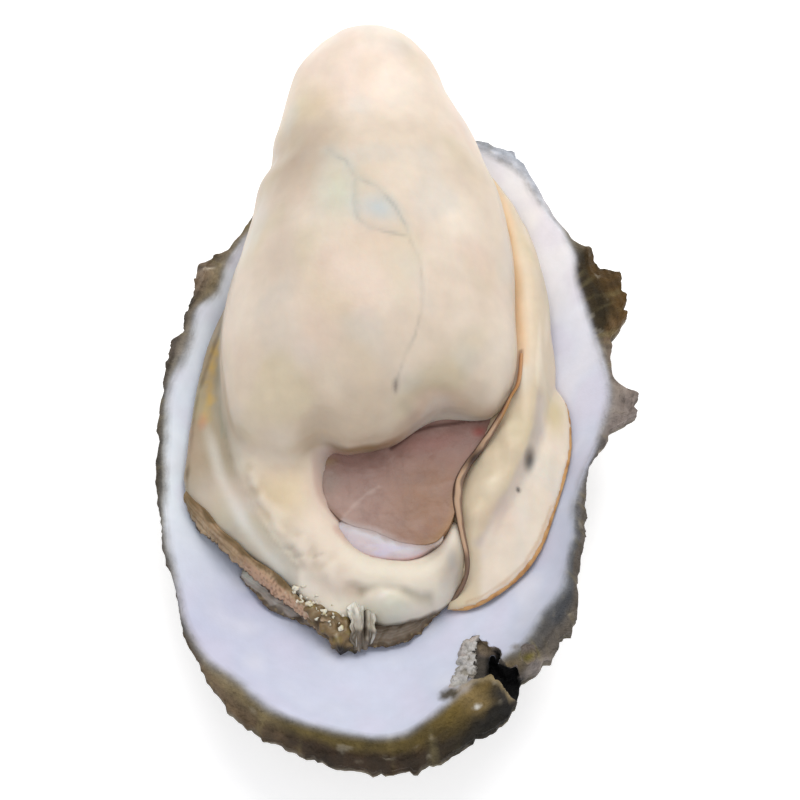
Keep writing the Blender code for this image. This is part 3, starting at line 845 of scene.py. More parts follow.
# %% [markdown]
# ## Flesh
# The animal is water-rich muscle and connective tissue under a film of liquor. Light goes a few
# millimetres into it and comes out warmer, which subsurface scattering gives, and the film
# gives a soft gloss. Every organ has the same finish over its own painted tint, so one function
# makes the material; faint mottling of 3 mm and wrinkles of about 1 mm keep it from looking
# like plastic.

# %% Flesh
def moist_flesh(
    name, roughness=0.38, scatter=0.18, mottling=0.05, wrinkle=0.25, wrinkle_width=1.1
):
    """Moist flesh over the painted tint; mottling and wrinkle set how uneven it is."""
    material, shader = new_material(name)
    where = add_node(material, "TexCoord").outputs["Object"]
    painted = add_node(material, "Attribute", attribute_name="tint").outputs["Color"]
    blotch, folds = (
        add_node(
            material, "TexNoise",
            {"Vector": where, "Scale": metres_scale(width), "Detail": detail},
        ).outputs["Fac"]
        for width, detail in ((3.0, 4.0), (wrinkle_width, 3.0))
    )
    shade = add_node(
        material, "MapRange", {0: blotch, 1: 0.25, 2: 0.75, 3: 1 - mottling, 4: 1 + mottling}
    )
    shaded = add_node(
        material, "VectorMath", {0: painted, "Scale": shade.outputs[0]}, operation="SCALE"
    )
    film = add_node(
        material, "MapRange", {0: blotch, 1: 0.3, 2: 0.7, 3: roughness - 0.06, 4: roughness + 0.08}
    )
    bumps = add_node(
        material, "Bump", {"Height": folds, "Distance": 0.15 * MM, "Strength": wrinkle}
    )
    fill_inputs(material, shader, {
        "Base Color": shaded.outputs[0],
        "Roughness": film.outputs[0],
        "Normal": bumps.outputs["Normal"],
        "IOR": 1.38,
        "Subsurface Weight": scatter,
        "Subsurface Radius": (1.0, 0.45, 0.25),
        "Subsurface Scale": 2.2 * MM,
    })
    return material


BLUSH_TONES = (("#d9b5a4", 9), ("#c6c093", 7), ("#c3cacb", 6))  # pink, olive and blue-grey
BLUSH_STRENGTH = 0.2


def blush(tint, places, seed):
    """Faint clouds of three colours, each of a width in mm, which all raw flesh shows."""
    for number, (hex_value, width) in enumerate(BLUSH_TONES):
        cloud = soft_step(0.1, 0.9, ripple(places, (width, 1.4 * width, width), seed + number))
        tint = tint_over(tint, hex_value, BLUSH_STRENGTH * cloud)
    return tint


flesh = moist_flesh("oyster_flesh_moist")
print("flesh material nodes:", len(flesh.node_tree.nodes))

# %% [markdown]
# ## Lofting an organ
# Every organ is a rounded body along a line, thick in one place and thin in another. It is
# described by stations, as a boat builder describes a hull: where the middle of the section
# is, how wide it is, and how far it reaches above and below. A ball is then stretched over the
# stations: its poles become the ends, and each of its rings becomes a section.

# %% Lofting an organ
SHELL_GAP = 0.5  # kept free between an organ and the lining
THIN_GAP = 0.3  # the same under a thin skin


def loft(name, stations, segments, rings, ends=(0.12, 0.12)):
    """A rounded body over stations of x, y, z, half width, height above, depth below, roll."""
    body, ball = add_ball(name, segments, rings)
    turn = np.arctan2(ball[:, 1], ball[:, 0])
    along = (1 - np.clip(ball[:, 2], -1, 1)) / 2
    stations = np.asarray(stations, float)
    knots = np.linspace(0, 1, len(stations))

    def section(place):
        return smooth_curve(knots, stations, np.clip(place, 0, 1))

    x, y, z, half_width, above, below, roll = section(along).T
    ahead = (section(along + 0.01) - section(along - 0.01))[:, :2]
    ahead /= np.linalg.norm(ahead, axis=1)[:, None]
    size = np.ones(len(along))
    for share, length in zip((along, 1 - along), ends):
        size *= np.sqrt(np.clip(1 - np.clip(1 - share / length, 0, 1) ** 2, 0, 1))
    across = np.cos(turn) * half_width * size
    upward = np.sin(turn) * size * np.where(np.sin(turn) > 0, above, below)
    lean = np.radians(roll)
    side = across * np.cos(lean) + upward * np.sin(lean)
    places = np.column_stack([
        x + ahead[:, 1] * side,
        y - ahead[:, 0] * side,
        z + upward * np.cos(lean) - across * np.sin(lean),
    ])
    write_points(body, keep_clear(places))
    face_outwards(body)
    return body


def tube(name, path, radius, rings):
    """A slim round cord of flesh along a line, thinning at its ends."""
    stations = [(x, y, z, radius, radius, radius, 0) for x, y, z in smooth_path(path, 40)]
    return loft(name, stations, segments=20, rings=rings, ends=(0.06, 0.06))


def keep_clear(points, gap=SHELL_GAP):
    """Lifts points that are closer to the lining than the gap."""
    points[:, 2] = np.maximum(points[:, 2], cup_height(points) + gap)
    return points


def join_with(piece, other):
    finish_with(piece, "BOOLEAN", operation="UNION", solver="MANIFOLD", object=other)
    bpy.data.objects.remove(other, do_unlink=True)


def make_room(piece, neighbour, gap):
    """Takes a neighbour's shape out of a piece; a gap below 0 lets the two meet with no slit."""
    room = neighbour.copy()
    room.data = neighbour.data.copy()
    bpy.context.scene.collection.objects.link(room)
    finish_with(room, "DISPLACE", strength=gap * MM, mid_level=0.0)
    cut(piece, room)


def remesh(piece, grain, smoothing):
    """Rebuilds a body from small even squares, then smooths it, as wet flesh has no sharp edge."""
    finish_with(piece, "REMESH", mode="VOXEL", voxel_size=grain * MM)
    finish_with(piece, "SMOOTH", factor=0.5, iterations=smoothing)


print("an organ keeps clear of the lining by", SHELL_GAP, "mm")

# %% [markdown]
# ## The shell-closing muscle
# The adductor holds the two valves together, so it is the firmest part: a short pillar of
# fibres that the knife has cut across at the top. Beside it lies the catch muscle, a white
# crescent that keeps the shell shut for hours. Each is a ball pushed into a drum with an
# uneven outline and a flat top, and both tops lie in the one plane of the knife's cut.

# %% The shell-closing muscle
CUT_MIDDLE, CUT_HEIGHT, CUT_SLOPE = -15.5, 20.6, 0.06
MUSCLE_CENTRE, CATCH_CENTRE = (-0.5, -15.5), (-1.8, -23.0)
MUSCLE_RADII = (
    (0, 9.6), (20, 12.0), (38, 19.8), (60, 16.0), (90, 11.5), (125, 12.0), (152, 14.8),
    (170, 13.3), (186, 12.5), (201, 11.3), (215, 10.4), (238, 8.6), (256, 8.6), (276, 9.6),
    (302, 11.2), (315, 10.9), (331, 10.4), (346, 9.7),
)
CATCH_RADII = (
    (0, 8.6), (45, 4.0), (90, 3.0), (135, 4.0), (173, 8.4), (193, 7.4), (223, 5.6), (250, 4.8),
    (280, 4.8), (316, 6.2), (338, 7.4), (349, 8.6),
)


def outside_of(points, centre, radii):
    """How far each point lies outside an outline given as radii by bearing round a centre."""
    x, y = points[:, 0] - centre[0], points[:, 1] - centre[1]
    table = np.array(radii)
    turn = np.degrees(np.arctan2(y, x)) % 360
    return np.hypot(x, y) - smooth_curve(table[:, 0], table[:, 1], turn, period=360)


def drum(name, centre, radii, segments, rings, drop, roll_off):
    """A pillar from the lining up to the knife's cut, with radii given by bearing."""
    body, ball = add_ball(name, segments, rings)
    turn, way = bearing_and_way(ball)
    share = np.minimum(1.0, 1.25 * np.sin(math.pi * way))
    table = np.array(radii)
    reach = smooth_curve(table[:, 0], table[:, 1], turn, period=360) * share
    places = np.column_stack([
        centre[0] + np.cos(np.radians(turn)) * reach,
        centre[1] + np.sin(np.radians(turn)) * reach,
        np.zeros(len(turn)),
    ])
    top = CUT_HEIGHT + CUT_SLOPE * (places[:, 1] - CUT_MIDDLE) - drop - roll_off * share**10
    top += 0.16 * ripple(places, 4, 30) + 0.05 * ripple(places, 1.0, 31)
    foot = cup_height(places) + SHELL_GAP
    places[:, 2] = top + (foot - top) * np.clip((way - 0.3) / 0.4, 0, 1)
    write_points(body, places)
    face_outwards(body)
    return body


muscle = drum(
    "adductor", MUSCLE_CENTRE, MUSCLE_RADII, segments=200, rings=120, drop=0.0, roll_off=0.08
)
catch = drum(
    "catch_band", CATCH_CENTRE, CATCH_RADII, segments=120, rings=60, drop=0.12, roll_off=0.4
)
make_room(catch, muscle, gap=-0.05)
print("muscle and catch band:", len(muscle.data.polygons), len(catch.data.polygons), "faces")

# %% [markdown]
# ## Colours of the muscle
# A cut muscle shows the ends of its fibres: brown-pink, with one pale streak where the fibres
# part, and an olive and brown border. Towards the back, where it runs under the body, it is
# painted darker as shade, and a thin dark line of painted shadow lies along the bag's edge. The
# catch muscle is pearly, with a rosy outer border and fine bands of blue-grey.

# %% Colours of the muscle
BAG_SHADOW_LINE = (
    (-1.4, -8.6), (0.2, -7.3), (2.1, -5.7), (4.7, -4.7), (7.4, -4.3), (10.1, -3.8), (13.8, -3.2),
)
FIBRE_STREAK = ((-9.0, -20.6), (-7.2, -18.4), (-5.6, -16.8), (-3.4, -15.4))
CATCH_MIDDLE = ((-9.6, -20.6), (-4.8, -22.4), (0.5, -24.7), (6.0, -24.4))

places = read_points(muscle)
x, y, _ = places.T
fibres = ripple(places, (0.8, 2.4, 0.8), 33)
inside = -outside_of(places, MUSCLE_CENTRE, MUSCLE_RADII)
to_catch = outside_of(places, CATCH_CENTRE, CATCH_RADII)
to_streak = distance_to(places, FIBRE_STREAK) + 0.2 * ripple(places, 1.4, 36)
by_catch = bump(inside, 1.3) * soft_step(0.6, -0.3, to_catch) * soft_step(4, -3, x)
tint = lay_over(
    plain_tint(muscle, "#9e8176"),
    # painted shade where the muscle runs under the body
    ("#96716a", 0.5 * soft_step(-4, 7, y - CUT_MIDDLE)),
    ("#8f694c", 0.74 * soft_step(-6, 5, x) * (1 - soft_step(-17, -6, y))),
    ("#87665e", 0.25 * soft_step(0.1, 0.9, ripple(places, 2.6, 32))),
    ("#b49b92", 0.2 * soft_step(0.1, 0.9, ripple(places, 3.0, 34))),
    ("#8a6f64", 0.3 * soft_step(0.1, 0.9, fibres)),
    ("#c9b3a8", 0.28 * bump(to_streak, 0.6)),
    ("#8c8378", 0.4 * patch(places, (-11.5, -14.5), (3.0, 5.0))),
    ("#7b5f4e", 0.6 * bump(inside, 1.1) * soft_step(-3, -7, x)),
    ("#a07a4e", 0.5 * bump(inside, 1.6) * soft_step(2, 6, x) * soft_step(-14, -18, y)),
    ("#8b7349", 0.6 * patch(places, (-12.0, -10.8), (3.0, 1.4))),
    ("#9c6f66", 0.6 * patch(places, (5.0, -7.6), (8.0, 2.6), 15)),
    ("#a8504a", 0.7 * patch(places, (13.0, -5.6), (2.0, 1.6))),
    # painted shadow: a thin dark line under the edge of the bag
    ("#52342c", 0.85 * bump(distance_to(places, BAG_SHADOW_LINE), 0.6)),
    ("#c0b0ad", 0.6 * by_catch),
)
store_tint(muscle, tint)
dress(muscle, moist_flesh(
    "adductor_fibre_cut", roughness=0.36, scatter=0.12, mottling=0.1, wrinkle=0.5,
    wrinkle_width=0.6,
), "adductor_muscle")

places = read_points(catch)
x, y, _ = places.T
outer = soft_step(0.4, 1.0, distance_to(places, CATCH_MIDDLE) / 2.6)
to_muscle = outside_of(places, MUSCLE_CENTRE, MUSCLE_RADII) + 0.25 * ripple(places, 1.2, 38)
tint = lay_over(
    plain_tint(catch, "#cac6cb"),
    ("#c6b5b8", 0.8 * outer),
    ("#c9c4da", 0.5 * soft_step(0.2, 0.9, ripple(places, (3.0, 1.2, 2.0), 35))),
    ("#c79d97", 0.7 * bump(-outside_of(places, CATCH_CENTRE, CATCH_RADII), 0.5) * outer),
    ("#ab948d", 0.75 * soft_step(1.1, 0.1, to_muscle)),
    ("#a68d80", 0.8 * soft_step(1.0, 6.0, x) * soft_step(2.4, 0.8, to_muscle)),
    ("#d9ccc0", 0.5 * soft_step(4.0, 7.0, x)),
)
store_tint(catch, tint)
pearly = moist_flesh("catch_muscle_pearly", roughness=0.3, scatter=0.2, mottling=0.04)
dress(catch, pearly, "catch_muscle")
print("muscle materials:", muscle.data.materials[0].name, "and", catch.data.materials[0].name)

# %% [markdown]
# ## The body mass
# This is most of the oyster: stomach, liver and, in season, the swollen creamy gonad, in one
# smooth bag. It hangs over the muscle at its front and runs round the muscle's left side in a
# softer ring, and the left mantle grows out of the ring with no seam. Three lofted bodies are
# joined and rebuilt by a voxel remesh so that they melt together, and the muscle's room is
# taken out. The relief that makes it flesh comes last.

# %% The body mass
BODY_STATIONS = (
    (-3.9, -9.8, 26.0, 19.0, 4.5, 7.0, 0), (-5.0, -3.3, 25.0, 22.6, 10.5, 12.0, 0),
    (-5.2, 5.0, 25.0, 24.6, 15.5, 14.0, 0), (-4.9, 14.0, 25.0, 24.4, 17.0, 14.0, 0),
    (-4.0, 23.0, 25.2, 23.3, 17.0, 13.0, 0), (-3.7, 32.0, 26.0, 22.0, 15.8, 11.0, 0),
    (-4.2, 40.0, 27.0, 20.4, 13.6, 9.0, 0), (-4.9, 48.0, 28.2, 17.4, 11.2, 7.0, 0),
    (-5.6, 56.0, 29.2, 14.4, 10.6, 6.2, 0), (-5.8, 63.0, 30.0, 12.6, 10.0, 6.0, 0),
    (-5.8, 70.0, 30.0, 11.2, 9.0, 6.0, 0),
)
RING_STATIONS = (
    (-15.5, 8.0, 26.0, 11.5, 7.0, 14.0, 0), (-18.4, -3.0, 22.0, 9.8, 7.0, 13.0, 0),
    (-18.6, -13.0, 17.6, 8.4, 6.2, 11.0, 0), (-14.8, -21.6, 15.2, 7.0, 6.4, 10.0, 0),
    (-8.4, -28.4, 14.0, 6.0, 6.6, 10.0, 0), (-1.0, -30.6, 13.6, 5.5, 6.6, 10.0, 0),
    (5.2, -29.2, 13.8, 4.6, 6.2, 10.0, 0), (8.4, -24.4, 15.2, 2.3, 4.6, 9.0, 0),
    (8.6, -19.6, 16.2, 1.0, 3.4, 6.0, 0),
)
LEFT_FOLD_STATIONS = (
    (-27.2, 22.0, 22.5, 1.4, 1.2, 3.0, 0), (-29.8, 12.0, 21.0, 2.4, 1.8, 3.0, 0),
    (-30.9, 2.0, 20.6, 3.2, 1.6, 3.0, 0), (-30.5, -8.0, 20.4, 4.6, 1.5, 3.0, 0),
    (-28.9, -15.4, 19.6, 6.0, 1.5, 3.0, 0), (-22.7, -22.0, 18.4, 4.7, 1.6, 2.4, 0),
    (-16.6, -26.8, 16.9, 4.4, 1.8, 1.8, 0), (-11.6, -31.4, 15.8, 4.2, 1.8, 1.6, 0),
    (-7.6, -35.8, 15.0, 3.0, 1.5, 1.4, 0),
)
belly = loft("belly", BODY_STATIONS, segments=120, rings=140, ends=(0.1, 0.15))
join_with(belly, loft("ring", RING_STATIONS, segments=72, rings=140))
join_with(belly, loft("left_fold", LEFT_FOLD_STATIONS, segments=72, rings=160))
remesh(belly, grain=0.6, smoothing=12)
make_room(belly, muscle, gap=-0.25)
make_room(belly, catch, gap=-0.15)
remesh(belly, grain=0.45, smoothing=3)
print("body mass:", len(belly.data.polygons), "faces")

# %% [markdown]
# ## Relief of the body mass
# A vein runs down the middle of the bag from a grey translucent window over the stomach. The
# gills' soft frilled ends show as pale lumps beside the groove where the left mantle begins,
# and thin creases mark where one organ lies on the next. Each is a line through a few places,
# and the points near it are moved along their normals. Proportional editing does the same by
# hand. The borders between the organs are smoothed first, so that they melt together.

# %% Relief of the body mass
VEINS = (
    ((-9.0, 35.0), (-7.5, 31.0), (-4.0, 29.0), (-1.0, 25.0), (1.0, 21.0), (1.5, 19.0)),
    ((-7.5, 30.5), (-7.7, 26.0), (-7.0, 22.5), (-5.0, 20.5), (-2.5, 19.6), (1.2, 19.0)),
    ((1.4, 19.0), (3.2, 15.0), (3.7, 9.6), (3.5, 6.2), (2.4, 2.3), (0.8, -0.5), (-0.3, -3.2),
     (-0.8, -4.8)),
    ((-12.0, 38.0), (-10.5, 36.0), (-9.0, 35.0)),
)
LEFT_GROOVE = (
    (-27.6, 18.0), (-29.2, 8.0), (-29.8, 1.2), (-29.4, -2.6), (-27.8, -7.4), (-26.2, -13.4),
    (-24.2, -17.6), (-22.0, -21.7), (-20.3, -24.1), (-18.1, -26.6), (-16.2, -28.6),
)
BAG_SEAM = (
    (-29.4, 3.1), (-28.5, -2.3), (-27.1, -6.5), (-25.2, -9.1), (-23.3, -10.6), (-20.1, -11.6),
    (-16.4, -11.9), (-14.4, -11.6),
)
GILL_LINE = (
    (-24.6, -12.0), (-23.4, -16.0), (-21.6, -19.4), (-19.6, -22.0), (-17.6, -24.2), (-15.6, -26.0),
    (-13.4, -28.0), (-11.0, -29.6),
)
GILL_SLITS = (
    ((-18.6, -25.6), (-17.4, -25.9)), ((-17.0, -27.0), (-15.6, -27.2)),
    ((-13.6, -27.6), (-12.4, -27.4)),
)
RING_CREASE = (
    (-6.4, -33.4), (-3.2, -32.0), (0.0, -32.7), (1.6, -33.6), (3.3, -34.0), (4.8, -33.8),
)
RING_SWELLINGS = (
    # centre, radii, turn in degrees, height in mm
    ((-7.2, -32.8), (2.6, 2.2), 0, -1.0), ((-1.7, -34.8), (4.2, 2.6), 0, 0.8),
    ((3.0, -30.6), (4.6, 1.9), 32, 0.55), ((6.6, -29.8), (2.6, 3.0), 0, 0.4),
)


def push(points, normals, mask, height):
    """Moves points along their normals by a height in mm where the mask is 1."""
    return points + normals * (np.asarray(mask) * height)[:, None]


def left_of(points, path):
    """How far each point lies to the left of a line that runs from the back to the front."""
    line = np.array(path)[::-1]
    return np.interp(points[:, 1], line[:, 1], line[:, 0]) - points[:, 0]


def nearest_of(points, paths):
    """Distance from each point to the nearest of several paths."""
    return np.minimum.reduce([distance_to(points, path) for path in paths])


places = read_points(belly)
to_groove = distance_to(places, LEFT_GROOVE)
soften(belly, bump(to_groove, 4.2) * soft_step(24.5, 22.5, places[:, 2]), 40)
soften(belly, bump(distance_to(places, BAG_SEAM), 5.0) * soft_step(20.5, 21.5, places[:, 2]), 60)
places, normals = read_points(belly), read_normals(belly)
upper = soft_step(0.0, 0.35, normals[:, 2])
above_ring = soft_step(21.8, 24.2, places[:, 2])
lifted = soft_step(20.4, 20.9, places[:, 2])
overhang = 2.2 * patch(places, (6.5, -8.5), (8.5, 6.0))
overhang += 1.3 * patch(places, (7.5, -6.5), (14.0, 6.0))
places[:, 1] += lifted * overhang
places[:, 1] += lifted * 1.9 * patch(places, (-12.8, -11.6), (5.0, 5.0))
corner = patch(places, (14.5, -4.5), (5.0, 5.0)) * lifted
places += np.outer(corner, (1.2, -1.2, 0))
places = push(places, normals, 0.30 * ripple(places, (9, 16, 9), 40), above_ring)
places = push(places, normals, 0.07 * ripple(places, (2.2, 5, 2.2), 41), 1.0)
places = push(places, normals, patch(places, (-22.5, 42.5), (7, 6)), -1.1)
places = push(places, normals, patch(places, (16.0, 43.5), (7, 8)), -0.6)
groove = bump(to_groove, 1.6) * upper * (1 - above_ring) * soft_step(8, 0, places[:, 1])
places = push(places, normals, groove, -0.3)
to_gills = distance_to(places, GILL_LINE) + 0.5 * ripple(places, 3, 48)
gills = bump(to_gills, 2.8) * upper * (1 - above_ring)
gill_lumps = ripple(places, (2.2, 2.2, 3.0), 49) + 0.2 * ripple(places, 1.1, 50)
places = push(places, normals, gills * gill_lumps, 0.26)
to_slit = nearest_of(places, GILL_SLITS)
places = push(places, normals, bump(to_slit, 0.7) * (1 - above_ring), -0.2)
to_crease = distance_to(places, RING_CREASE)
below_cut = soft_step(20.4, 19.0, places[:, 2])
places = push(places, normals, bump(to_crease, 1.3) * below_cut, -0.55)
for centre, radii, turn_degrees, height in RING_SWELLINGS:
    swelling = patch(places, centre, radii, turn_degrees) * below_cut
    places = push(places, normals, swelling, height)
to_vein = nearest_of(places, VEINS) + 0.12 * ripple(places, 2.5, 43)
places = push(places, normals, bump(to_vein, 0.9) * above_ring, -0.1)
write_points(belly, keep_clear(places))
print("highest point of the body mass:", places[:, 2].max().round(1), "mm")

# %% [markdown]
# ## Colours of the bag
# The bag is cream where the gonad shines through its skin, grey-green over the stomach and palest
# at its thin tip. Broad coats come first, then soft oval patches, then the veins, which are drawn
# faintly and with gaps. Painted shade darkens the front of the bag, where it curves down towards
# the muscle, the left side of its neck and the right side of its tip. At the front the bag turns
# under, and where it faces down it is painted dark brown as shade.

# %% Colours of the bag
BAG_PATCHES = (
    # colour, strength, centre, radii, turn in degrees
    # painted shade on the left side of the neck
    ("#a7917b", 0.66, (-18.0, 39.0), (11.0, 17.0), -10),
    ("#c3b3a3", 0.5, (-19.0, 17.0), (6.0, 14.0), 0),
    ("#d3c396", 0.45, (-14.8, 49.5), (7, 6), 30),
    ("#f8ecdc", 0.5, (8.4, 25.0), (6.5, 9), 10),
    # painted shade on the right side of the tip
    ("#d8c5b2", 0.45, (7.0, 50.5), (7.5, 11.0), 0),
    ("#cdd0c0", 0.75, (-10.0, 28.5), (6.5, 9), 15),
    ("#bcc4c4", 0.85, (-3.4, 24.4), (5.4, 4.0), -35),
)
x, length, z = places.T
faces_up = normals[:, 2]
clouds = 0.5 + 0.5 * ripple(places, (7, 12, 9), 44)
tint = lay_over(
    plain_tint(belly, "#ddcdba"),
    ("#f3e3d3", soft_step(40, 54, length)),
    ("#dccbb9", soft_step(-2, 8, length) * (1 - soft_step(20, 34, length)) * 0.6),
    # painted shade: the front of the bag, which curves down towards the muscle, is darker
    ("#b9a68d", (1 - soft_step(-9, 7, length)) * above_ring
     * (0.3 + 0.35 * soft_step(-22, -13, x))),
    ("#cdbb9f", 0.3 * soft_step(0.5, 1.0, clouds)),
    ("#eadfce", 0.3 * soft_step(0.5, 1.0, 1 - clouds)),
)
tint = paint_patches(tint, places, BAG_PATCHES, above_ring)
faded = 0.12 + 0.34 * soft_step(-0.5, 0.5, ripple(places, 3.0, 46)) * (
    0.6 + 0.4 * soft_step(14, 20, length)
)
tucked_shade = soft_step(-0.1, -0.4, faces_up) * soft_step(2, -4, length)
tucked_shade *= soft_step(20.9, 21.8, z) * soft_step(-15, -12, x)
tint = lay_over(
    tint,
    ("#8e8a80", faded * bump(to_vein, 0.5) * above_ring),
    ("#b3b8b0", 0.3 * bump(to_vein, 1.8) * above_ring * soft_step(17, 21, length)),
    ("#9c8f84", 0.4 * patch(places, (1.6, -6.2), (2.6, 1.6)) * above_ring),
    ("#86756a", 0.8 * patch(places, (-0.7, -4.2), (0.7, 1.3)) * above_ring),
    # painted shade where the bag turns under and faces down
    ("#6a4438", 0.85 * tucked_shade * soft_step(-4, 1, x)),
    ("#9c6a58", 0.7 * patch(places, (15.6, -5.6), (3.0, 2.6)) * soft_step(0.5, 0.0, faces_up)),
)
print("patches on the bag:", len(BAG_PATCHES))

# %% [markdown]
# ## Colours of the ring
# The ring round the muscle is cream, rosy where it touches the two muscles and yellowish at its
# left over the liver. Its thin right end is grey, which is painted shade, with a narrow painted
# highlight. Painted shade lies in the valley at its front, in its crease and in the gills' slits,
# and there is a painted highlight on its front bulge; painted light lifts the shade under the
# bag's lower left. Where the bag meets the muscle, an olive-brown band is partly its own colour
# and partly painted shade. The gills' lumps are lighter than the hollows between them.

# %% Colours of the ring
RING_PATCHES = (
    # colour, strength, centre, radii, turn in degrees
    # painted shade in the valley at the front of the ring
    ("#bfa890", 0.6, (-7.4, -32.6), (3.2, 2.4), 0),
    ("#dcdbc8", 0.9, (-1.2, -35.0), (4.6, 2.0), 0),
    # painted highlight on the front bulge
    ("#f2ede2", 0.7, (-2.7, -33.8), (1.6, 0.9), 20),
    ("#e0d3c6", 0.6, (3.0, -30.6), (4.2, 1.6), 32),
    # painted shade at the ring's right end
    ("#97887b", 0.85, (7.2, -27.6), (4.0, 5.6), 10),
    # painted highlight along the bulge at the ring's right end
    ("#a3a7ab", 0.42, (8.0, -27.4), (1.4, 3.6), 10),
)
ring = 1 - above_ring
to_muscle = outside_of(places, MUSCLE_CENTRE, MUSCLE_RADII)
to_catch = outside_of(places, CATCH_CENTRE, CATCH_RADII)
over_muscle = soft_step(26.2, 24.2, z + 0.4 * ripple(places, 2.5, 39))
over_muscle *= soft_step(1.2, 0.0, to_muscle)
tint = lay_over(
    tint,
    ("#e5dac7", ring * 0.85),
    ("#d9c690", 0.75 * ring * patch(places, (-19.0, -15.5), (7.5, 10.0), 10)),
    ("#e6d4c6", 0.6 * ring * bump(np.maximum(to_muscle, 0), 3.6)
     * soft_step(-7.5, -9.5, length)),
    # olive-brown band where the bag meets the muscle: partly its own colour, partly painted shade
    ("#86663f", 0.8 * over_muscle * soft_step(2.5, -2.0, x) * soft_step(-13, -11.6, length)
     * soft_step(-12.8, -10.2, x)),
    # painted light that lifts the shade under the bag's lower left
    ("#ecdfcb", 0.45 * patch(places, (-18.6, -11.2), (5.5, 3.0), -10)),
    ("#bfa092", 0.65 * ring * bump(to_muscle, 1.1) * soft_step(-4, -8, x)),
    ("#c79d90", 0.6 * ring * bump(to_catch, 0.8) * soft_step(-21, -23, length)),
    ("#e3dac8", 0.6 * ring * soft_step(-22, -28, length)),
    ("#ece4d2", 0.6 * gills * soft_step(-0.1, 0.5, gill_lumps)),
    ("#c9bb9c", 0.4 * gills * soft_step(-0.05, -0.5, gill_lumps)),
    # painted shade in the gills' slits
    ("#9b968c", 0.3 * ring * bump(to_slit, 0.45)),
    # painted shade in the crease
    ("#b5ab93", 0.6 * bump(to_crease, 1.1) * below_cut),
)
tint = paint_patches(tint, places, RING_PATCHES, below_cut)
foot = soft_step(14.6, 13.4, z + 0.3 * ripple(places, 2, 58)) * soft_step(-30, -32, length)
tint = tint_over(tint, "#5b4530", 0.85 * foot)
print("patches on the ring:", len(RING_PATCHES))

# %% [markdown]
# ## Colours of the left mantle
# The left fold is tan at its back and pale grey at its front, with a pale band beside the groove,
# two thin olive lines and an ochre streak along it, and a dark border where the living animal met
# the light. Grey-green painted shade lies in the groove between it and the bag, and painted shade
# darkens it where it faces down.

# %% Colours of the left mantle
LEFT_EDGE = (
    (-28.0, 21.0, 23.0), (-29.9, 13.1, 22.8), (-31.1, 10.3, 22.6), (-32.5, 5.7, 22.1),
    (-33.6, 1.1, 21.7), (-34.2, -3.6, 21.6), (-34.4, -9.1, 21.5), (-34.7, -13.2, 20.9),
    (-34.6, -17.0, 20.6),
)
FOLD_STREAK = ((-30.8, 11.0), (-31.4, 5.6), (-31.4, 1.7), (-31.9, -3.6))
FOLD_LINES = tuple(
    ((x - 0.4, 6.0), (x, 1.0), (x + 0.2, -3.0), (x + 0.6, -7.0)) for x in (-29.6, -28.9)
)
SIDE_LINE = ((20.1, 8.0, 24.2), (19.4, 2.6, 24.2), (18.0, -1.4, 25.2), (16.4, -4.4, 25.2))
from_groove = left_of(places, LEFT_GROOVE)
low = soft_step(24.0, 22.8, z)
fold = soft_step(-0.6, 0.8, from_groove) * low
shaded = bump(to_groove, 2.2) * ring * low
to_streak = distance_to(places, FOLD_STREAK) + 0.5 * ripple(places, 1.2, 47)
broken_up = 0.5 + 0.5 * soft_step(-0.4, 0.4, ripple(places, 2.0, 53))
thin_wander = 0.1 * ripple(places, 1.0, 59)
to_edge = distance_to(places, LEFT_EDGE) + 0.15 * ripple(places, 2, 56)
tint = lay_over(
    tint,
    ("#9e8e74", fold),
    ("#c0b8aa", 0.8 * fold * soft_step(-10, -18, length)),
    ("#b09f88", 0.6 * fold * patch(places, (-33.2, -10.0), (3.0, 9.0))),
    ("#d6d2c8", 0.6 * fold * bump(abs(from_groove - 3.0), 1.8) * soft_step(-2, -10, length)),
    ("#d2d6d6", 0.35 * fold * patch(places, (-25.6, -20.0), (2.6, 5.6), 40)),
    ("#b0a685", 0.55 * fold * patch(places, (-22.5, -21.0), (2.4, 4.4), 40)),
    # grey-green painted shade in the groove beside the bag
    ("#8f8a72", 0.5 * shaded * soft_step(-10, -2, length)),
    ("#a8a193", 0.3 * shaded),
    ("#bf9c4a", 0.65 * fold * bump(to_streak, 1.2) * broken_up),
    ("#b4785a", 0.65 * fold * patch(places, (-32.4, -4.0), (1.3, 2.6))),
    *(("#8f9280", 0.55 * fold * bump(distance_to(places, line) + thin_wander, 0.35))
      for line in FOLD_LINES),
    ("#6b5a42", 0.85 * bump(to_edge, 0.75) * fold),
    # painted shade where the fold faces down
    ("#54452f", 0.85 * fold * soft_step(0.25, -0.1, faces_up)),
    ("#8a5330", 0.85 * bump(distance_to(places, SIDE_LINE), 0.6)),
)
store_tint(belly, blush(tint, places, 100))
dress(belly, flesh, "body_mass")
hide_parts("mantle_left")
print("body mass finished:", len(belly.data.polygons), "faces")

# %% [markdown]
# ## Thin edges of the mantle
# The rim of the mantle is a thin ruffled ribbon, dark where the living animal met the light.
# A strip of this kind is a grid stretched between two lines, one for each edge. Its middle is
# arched, its free edge is waved and notched, and a Solidify modifier gives it its thickness.

# %% Thin edges of the mantle
READINGS = 401  # places at which the two edges of a strip are read


